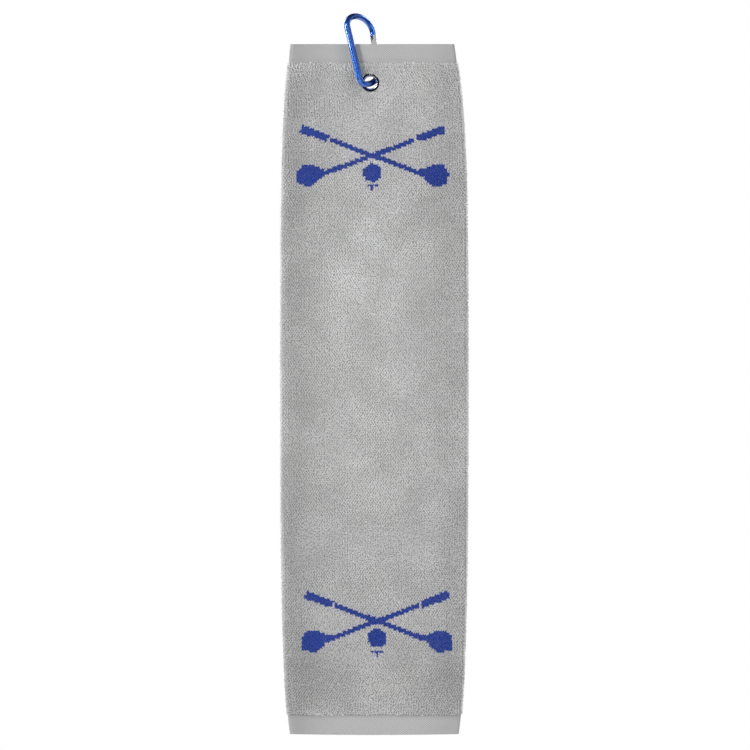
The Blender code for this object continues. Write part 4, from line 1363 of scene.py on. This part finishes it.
def make_carabiner():
    """The bent bar with its nose tongue, latch notch and hinge tang."""
    points, spine_top, foot, pivot, shoulder = carabiner_outline()
    line = [Vector((u, 0.0, w)) for u, w in points]
    verts, sides = [], 56
    for index, place in enumerate(line):
        tangent = (line[min(index + 1, len(line) - 1)] - line[max(index - 1, 0)]).normalized()
        from_ends = min(spine_top[1] - place.z, place.z - foot[1]) + SPINE_BLEND
        flat = float(smoothstep(from_ends / SPINE_BLEND)) if place.x < 0.0 else 0.0
        verts += [PLANE @ (place + offset) for offset in bar_section(tangent, flat, sides)]
    faces = grid_faces(len(line), sides, closed_columns=True)
    faces += [tuple(range(sides)), tuple(range(len(verts) - sides, len(verts)))]
    blue = metal_material("blue_anodising", tuple(metal().anodised_colour), (0.08, 0.22, 0.78), 0.25, 0.24,
                          metallic=0.92, coat=1.0)
    body = mesh_object("carabiner_bar", verts, faces, blue)
    gate_end = shoulder - NOSE_SHOULDER
    tongue_end = shoulder - NOSE_TONGUE - CUT_MARGIN
    clear = GATE_RADIUS + SEAT_GAP + SMALL_GAP
    far = BAR_RADIUS + CUT_MARGIN
    latch_z = gate_end - LATCH_DEPTH
    notch = PIN_RADIUS + SMALL_GAP
    mouth = notch + SMALL_GAP / 2
    cutters = []
    for side in (1.0, -1.0):
        near_y, far_y = sorted((side * TANG_HALF, side * far))
        cutters.append(box((NOSE_SIDE - CUT_MARGIN, near_y, tongue_end),
                           (NOSE_SIDE + CUT_MARGIN, far_y, gate_end)))
        cutters.append(rod(clear, (pivot[0], side * TANG_HALF, pivot[1]), (pivot[0], side * far, pivot[1])))
    cutters.append(rod(RIVET_RADIUS + SMALL_GAP, (pivot[0], -far, pivot[1]), (pivot[0], far, pivot[1]), 32))
    cutters.append(rod(notch, (NOSE_SIDE, -far, latch_z), (NOSE_SIDE, far, latch_z), 32))
    cutters.append(box((NOSE_SIDE - far, -far, latch_z - mouth),
                       (NOSE_SIDE - SMALL_GAP, far, latch_z + mouth)))
    cut_away(body, cutters)
    return round_edges(body)


def make_gate():
    """The bright slotted gate on its rivet."""
    _, _, _, pivot, shoulder = carabiner_outline()
    gate_end = shoulder - NOSE_SHOULDER
    top = gate_end - SEAT_GAP - pivot[1]
    profile = [(0.0, top), (GATE_RADIUS - 0.35 * MM, top), (GATE_RADIUS - 0.12 * MM, top - 0.08 * MM),
               (GATE_RADIUS, top - 0.35 * MM), (GATE_RADIUS, 0.0)]
    profile += arc((0.0, 0.0), GATE_RADIUS, 0, -90, 18)[1:-1] + [(0.0, -GATE_RADIUS)]
    silver = metal_material("bright_gate_metal", tuple(metal().gate_colour), (0.30, 0.29, 0.30), 0.25, 0.15,
                            metallic=0.70, coat=0.3, grain=1800.0)
    place = PLANE @ Matrix.Translation((pivot[0], 0.0, pivot[1]))
    gate = lathe("slotted_gate", profile, silver, place, steps=64)
    wide = GATE_RADIUS + CUT_MARGIN
    u, w = pivot
    pin = gate_end - LATCH_DEPTH
    nose_slot = box((u - wide, -GATE_SLOT_HALF, w + top - NOSE_SLOT_DEPTH),
                    (u + wide, GATE_SLOT_HALF, w + top + wide))
    hinge_slot = box((u - wide, -GATE_SLOT_HALF, w - wide),
                     (u + wide, GATE_SLOT_HALF, w + GATE_SLOT_ROOT))
    spring_bore = rod(SPRING_BORE, (u, 0.0, w), (u, 0.0, w + SPRING_BORE_DEPTH), 32)
    rivet_hole = rod(RIVET_RADIUS + SMALL_GAP, (u, -wide, w), (u, wide, w), 32)
    pin_hole = rod(PIN_RADIUS + SMALL_GAP / 2, (u, -wide, pin), (u, wide, pin), 24)
    cut_away(gate, [nose_slot, hinge_slot, spring_bore, rivet_hole, pin_hole])
    return round_edges(gate)


# ---------------------------------------------------------------- stage

FLOOR_RADIUS = 0.8
EDGE_SHARE = 0.22
FACE_SHARE = 0.020
REAR_SHARE = 0.5
VIEW_HEIGHT = 543.75 * MM
VIEW_CENTRE = (14.28 * MM, -3.0, -257.96 * MM)


def make_floor():
    """A round pale floor under the hanging towel."""
    bm = bmesh.new()
    level = CAD_LOW.z - stage().floor_drop
    bmesh.ops.create_circle(bm, cap_ends=True, segments=96, radius=FLOOR_RADIUS,
                            matrix=Matrix.Translation((0.0, 0.0, level)))
    mesh = bpy.data.meshes.new("floor")
    bm.to_mesh(mesh)
    bm.free()
    mesh.materials.append(floor_material())
    return link(bpy.data.objects.new("floor", mesh))


def area_light(name, place, target, size, energy):
    light = bpy.data.lights.new(name, "AREA")
    light.shape = "RECTANGLE"
    light.size, light.size_y = size
    light.energy = energy
    obj = link(bpy.data.objects.new(name, light))
    obj.location = place
    obj.rotation_mode = "QUATERNION"
    obj.rotation_quaternion = (Vector(target) - Vector(place)).to_track_quat("-Z", "Y")


def make_lights():
    """Soft lights in front and behind, two small ones for the metal's edges, and the surround."""
    key, fill, surround = stage().key_power, stage().fill_power, stage().surround
    towel, carabiner = (AXIS_X, 0.0, -0.24), (0.0, 0.0, -0.03)
    area_light("key", (-0.85, -1.00, 0.55), towel, (0.34, 0.60), key)
    area_light("edge_strip", (-1.15, -0.26, 0.05), carabiner, (0.06, 0.70), key * EDGE_SHARE)
    area_light("face_panel", (1.15, 0.24, 0.22), carabiner, (0.55, 0.60), key * FACE_SHARE)
    area_light("fill", (1.15, -0.95, 0.05), towel, (0.50, 1.10), fill)
    area_light("rear_left", (-0.90, 1.00, 0.35), towel, (0.60, 0.90), key * REAR_SHARE)
    area_light("rear_right", (0.95, 0.95, 0.25), towel, (0.60, 0.90), key * REAR_SHARE)
    world = bpy.data.worlds.new("studio")
    bpy.context.scene.world = world
    world.use_nodes = True
    tree = world.node_tree
    tree.nodes.clear()
    rays = tree.nodes.new("ShaderNodeLightPath").outputs
    parts = split(tree, tree.nodes.new("ShaderNodeTexCoord").outputs["Generated"])
    # Metal sees a dark room with a paler front, so that its edges stay crisp
    mirrored = remap(tree, parts["Y"], -0.9, 0.5, surround * 0.50, surround * 0.04)
    around, glossy, seen = (node(tree, "ShaderNodeBackground", {"Color": (1, 1, 1, 1), "Strength": strength}
                                 ).outputs[0] for strength in (surround, mirrored, 1.0))
    around = node(tree, "ShaderNodeMixShader", {0: rays["Is Glossy Ray"], 1: around, 2: glossy}).outputs[0]
    around = node(tree, "ShaderNodeMixShader", {0: rays["Is Camera Ray"], 1: around, 2: seen}).outputs[0]
    node(tree, "ShaderNodeOutputWorld", {"Surface": around})
    bpy.context.scene.view_settings.view_transform = "Standard"


def make_camera():
    camera = bpy.data.cameras.new("front")
    camera.type = "ORTHO"
    camera.ortho_scale = VIEW_HEIGHT
    camera.clip_start, camera.clip_end = 0.1, 20.0
    obj = link(bpy.data.objects.new("front", camera))
    obj.location = VIEW_CENTRE
    obj.rotation_euler = (math.radians(90), 0.0, 0.0)
    bpy.context.scene.camera = obj


# ---------------------------------------------------------------- operators

def settle_on(piece, body, slot, *nodes):
    """Ride a finished piece on its body, and hide the imported pieces that it stands for; the slot is not
    used.
    """
    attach(piece, body)
    if nodes:
        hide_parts(*nodes)


def dress(node_name, material):
    """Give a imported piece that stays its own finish."""
    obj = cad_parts[node_name]
    if not obj.material_slots:
        obj.data.materials.append(material)
    for slot in obj.material_slots:
        slot.material = material


class GOLFTOWEL_OT_hems(bpy.types.Operator):
    """Make the turned twill hems along both ends and both long edges"""
    bl_idname = "golf_towel.hems"
    bl_label = "Hems"

    def execute(self, context):
        settle_on(make_hem("top_hem", True), "towel", "grey_twill", "top_hem_band")
        settle_on(make_hem("bottom_hem", False), "towel", "grey_twill", "bottom_hem_band")
        settle_on(make_side_hem("outer_side_hem", True), "towel", "grey_twill")
        settle_on(make_side_hem("inner_side_hem", False), "towel", "grey_twill")
        return {"FINISHED"}


class GOLFTOWEL_OT_pile(bpy.types.Operator):
    """Make the loops of the pile on the front, the folds and the back"""
    bl_idname = "golf_towel.pile"
    bl_label = "Pile"

    def execute(self, context):
        *points, motif = pile_points(False)
        made = make_pile("pile_front", [part[motif == 0] for part in points], 6, pile_grey())
        for number, name in enumerate(MOTIFS, 1):
            chosen = [part[motif == number] for part in points]
            made += make_pile(f"motif_pile_{name}", chosen, 1, pile_blue())
        *points, _ = pile_points(True)
        made += make_pile("pile_back", points, 3, pile_grey())
        made.append(make_motif_ground())
        for piece in made:
            settle_on(piece, "towel", "grey_terry")
        return {"FINISHED"}


class GOLFTOWEL_OT_stitches(bpy.types.Operator):
    """Make the hem stitches and the loose threads"""
    bl_idname = "golf_towel.stitches"
    bl_label = "Stitches"

    def execute(self, context):
        for piece, node_name in make_stitches():
            settle_on(piece, "towel", "grey_thread", node_name)
        settle_on(make_loose_threads(), "towel", "grey_thread")
        return {"FINISHED"}


class GOLFTOWEL_OT_ground(bpy.types.Operator):
    bl_idname = "golf_towel.ground"
    bl_label = "Ground cloth"

    def execute(self, context):
        ground = make_ground()
        settle_on(ground, "towel", "grey_terry", "terry_panel")
        return {"FINISHED"}


class GOLFTOWEL_OT_eyelet(bpy.types.Operator):
    """Make the eyelet and finish its washer"""
    bl_idname = "golf_towel.eyelet"
    bl_label = "Eyelet"

    def execute(self, context):
        settle_on(make_eyelet(), "towel", "gunmetal", "eyelet_barrel")
        dress("eyelet_washer", metal_material("gunmetal_washer", tuple(metal().eyelet_colour),
                                              (0.4, 0.39, 0.38), 0.3, 0.3))
        return {"FINISHED"}


class GOLFTOWEL_OT_carabiner(bpy.types.Operator):
    """Make the anodised bar and finish the rivet in its hinge"""
    bl_idname = "golf_towel.carabiner"
    bl_label = "Carabiner"

    def execute(self, context):
        settle_on(make_carabiner(), "carabiner", "blue_anodised", "carabiner_body")
        dress("gate_rivet", steel())
        return {"FINISHED"}


class GOLFTOWEL_OT_gate(bpy.types.Operator):
    """Make the gate and finish its pin, plunger and spring"""
    bl_idname = "golf_towel.gate"
    bl_label = "Gate"

    def execute(self, context):
        settle_on(make_gate(), "gate", "bright_gate", "carabiner_gate")
        for name in ("latch_pin", "gate_plunger", "gate_spring"):
            dress(name, steel())
        return {"FINISHED"}


class GOLFTOWEL_OT_stage(bpy.types.Operator):
    """Make the floor, the lights and the camera"""
    bl_idname = "golf_towel.stage"
    bl_label = "Stage"

    def execute(self, context):
        make_floor()
        make_lights()
        make_camera()
        return {"FINISHED"}


class GOLFTOWEL_PT_panel(bpy.types.Panel):
    """Lists the towel's pieces and their sizes"""
    bl_label = "Golf Towel"
    bl_idname = "GOLFTOWEL_PT_panel"
    bl_space_type = "VIEW_3D"
    bl_region_type = "UI"
    bl_category = "Golf Towel"

    def draw(self, context):
        scene = context.scene
        for title, settings in (("Cloth", scene.golf_towel_cloth), ("Metal", scene.golf_towel_metal),
                                ("Stage", scene.golf_towel_stage)):
            column = self.layout.box().column()
            column.label(text=title)
            for name in settings.bl_rna.properties.keys():
                if name not in ("rna_type", "name"):
                    column.prop(settings, name)
        for step in STEPS:
            self.layout.operator(step.bl_idname)


STEPS = (GOLFTOWEL_OT_stage, GOLFTOWEL_OT_hems, GOLFTOWEL_OT_pile, GOLFTOWEL_OT_stitches,
         GOLFTOWEL_OT_ground, GOLFTOWEL_OT_eyelet, GOLFTOWEL_OT_carabiner, GOLFTOWEL_OT_gate)
CLASSES = (ClothSettings, MetalSettings, StageSettings, *STEPS, GOLFTOWEL_PT_panel)
SETTINGS = {"golf_towel_cloth": ClothSettings, "golf_towel_metal": MetalSettings,
            "golf_towel_stage": StageSettings}


def register():
    for item in CLASSES:
        bpy.utils.register_class(item)
    for name, kind in SETTINGS.items():
        setattr(bpy.types.Scene, name, PointerProperty(type=kind))


def unregister():
    for name in SETTINGS:
        delattr(bpy.types.Scene, name)
    for item in reversed(CLASSES):
        bpy.utils.unregister_class(item)


def main():
    register()
    bpy.ops.golf_towel.stage()
    bpy.ops.golf_towel.hems()
    bpy.ops.golf_towel.pile()
    bpy.ops.golf_towel.stitches()
    bpy.ops.golf_towel.ground()
    bpy.ops.golf_towel.eyelet()
    bpy.ops.golf_towel.carabiner()
    bpy.ops.golf_towel.gate()


if __name__ == "__main__":
    main()
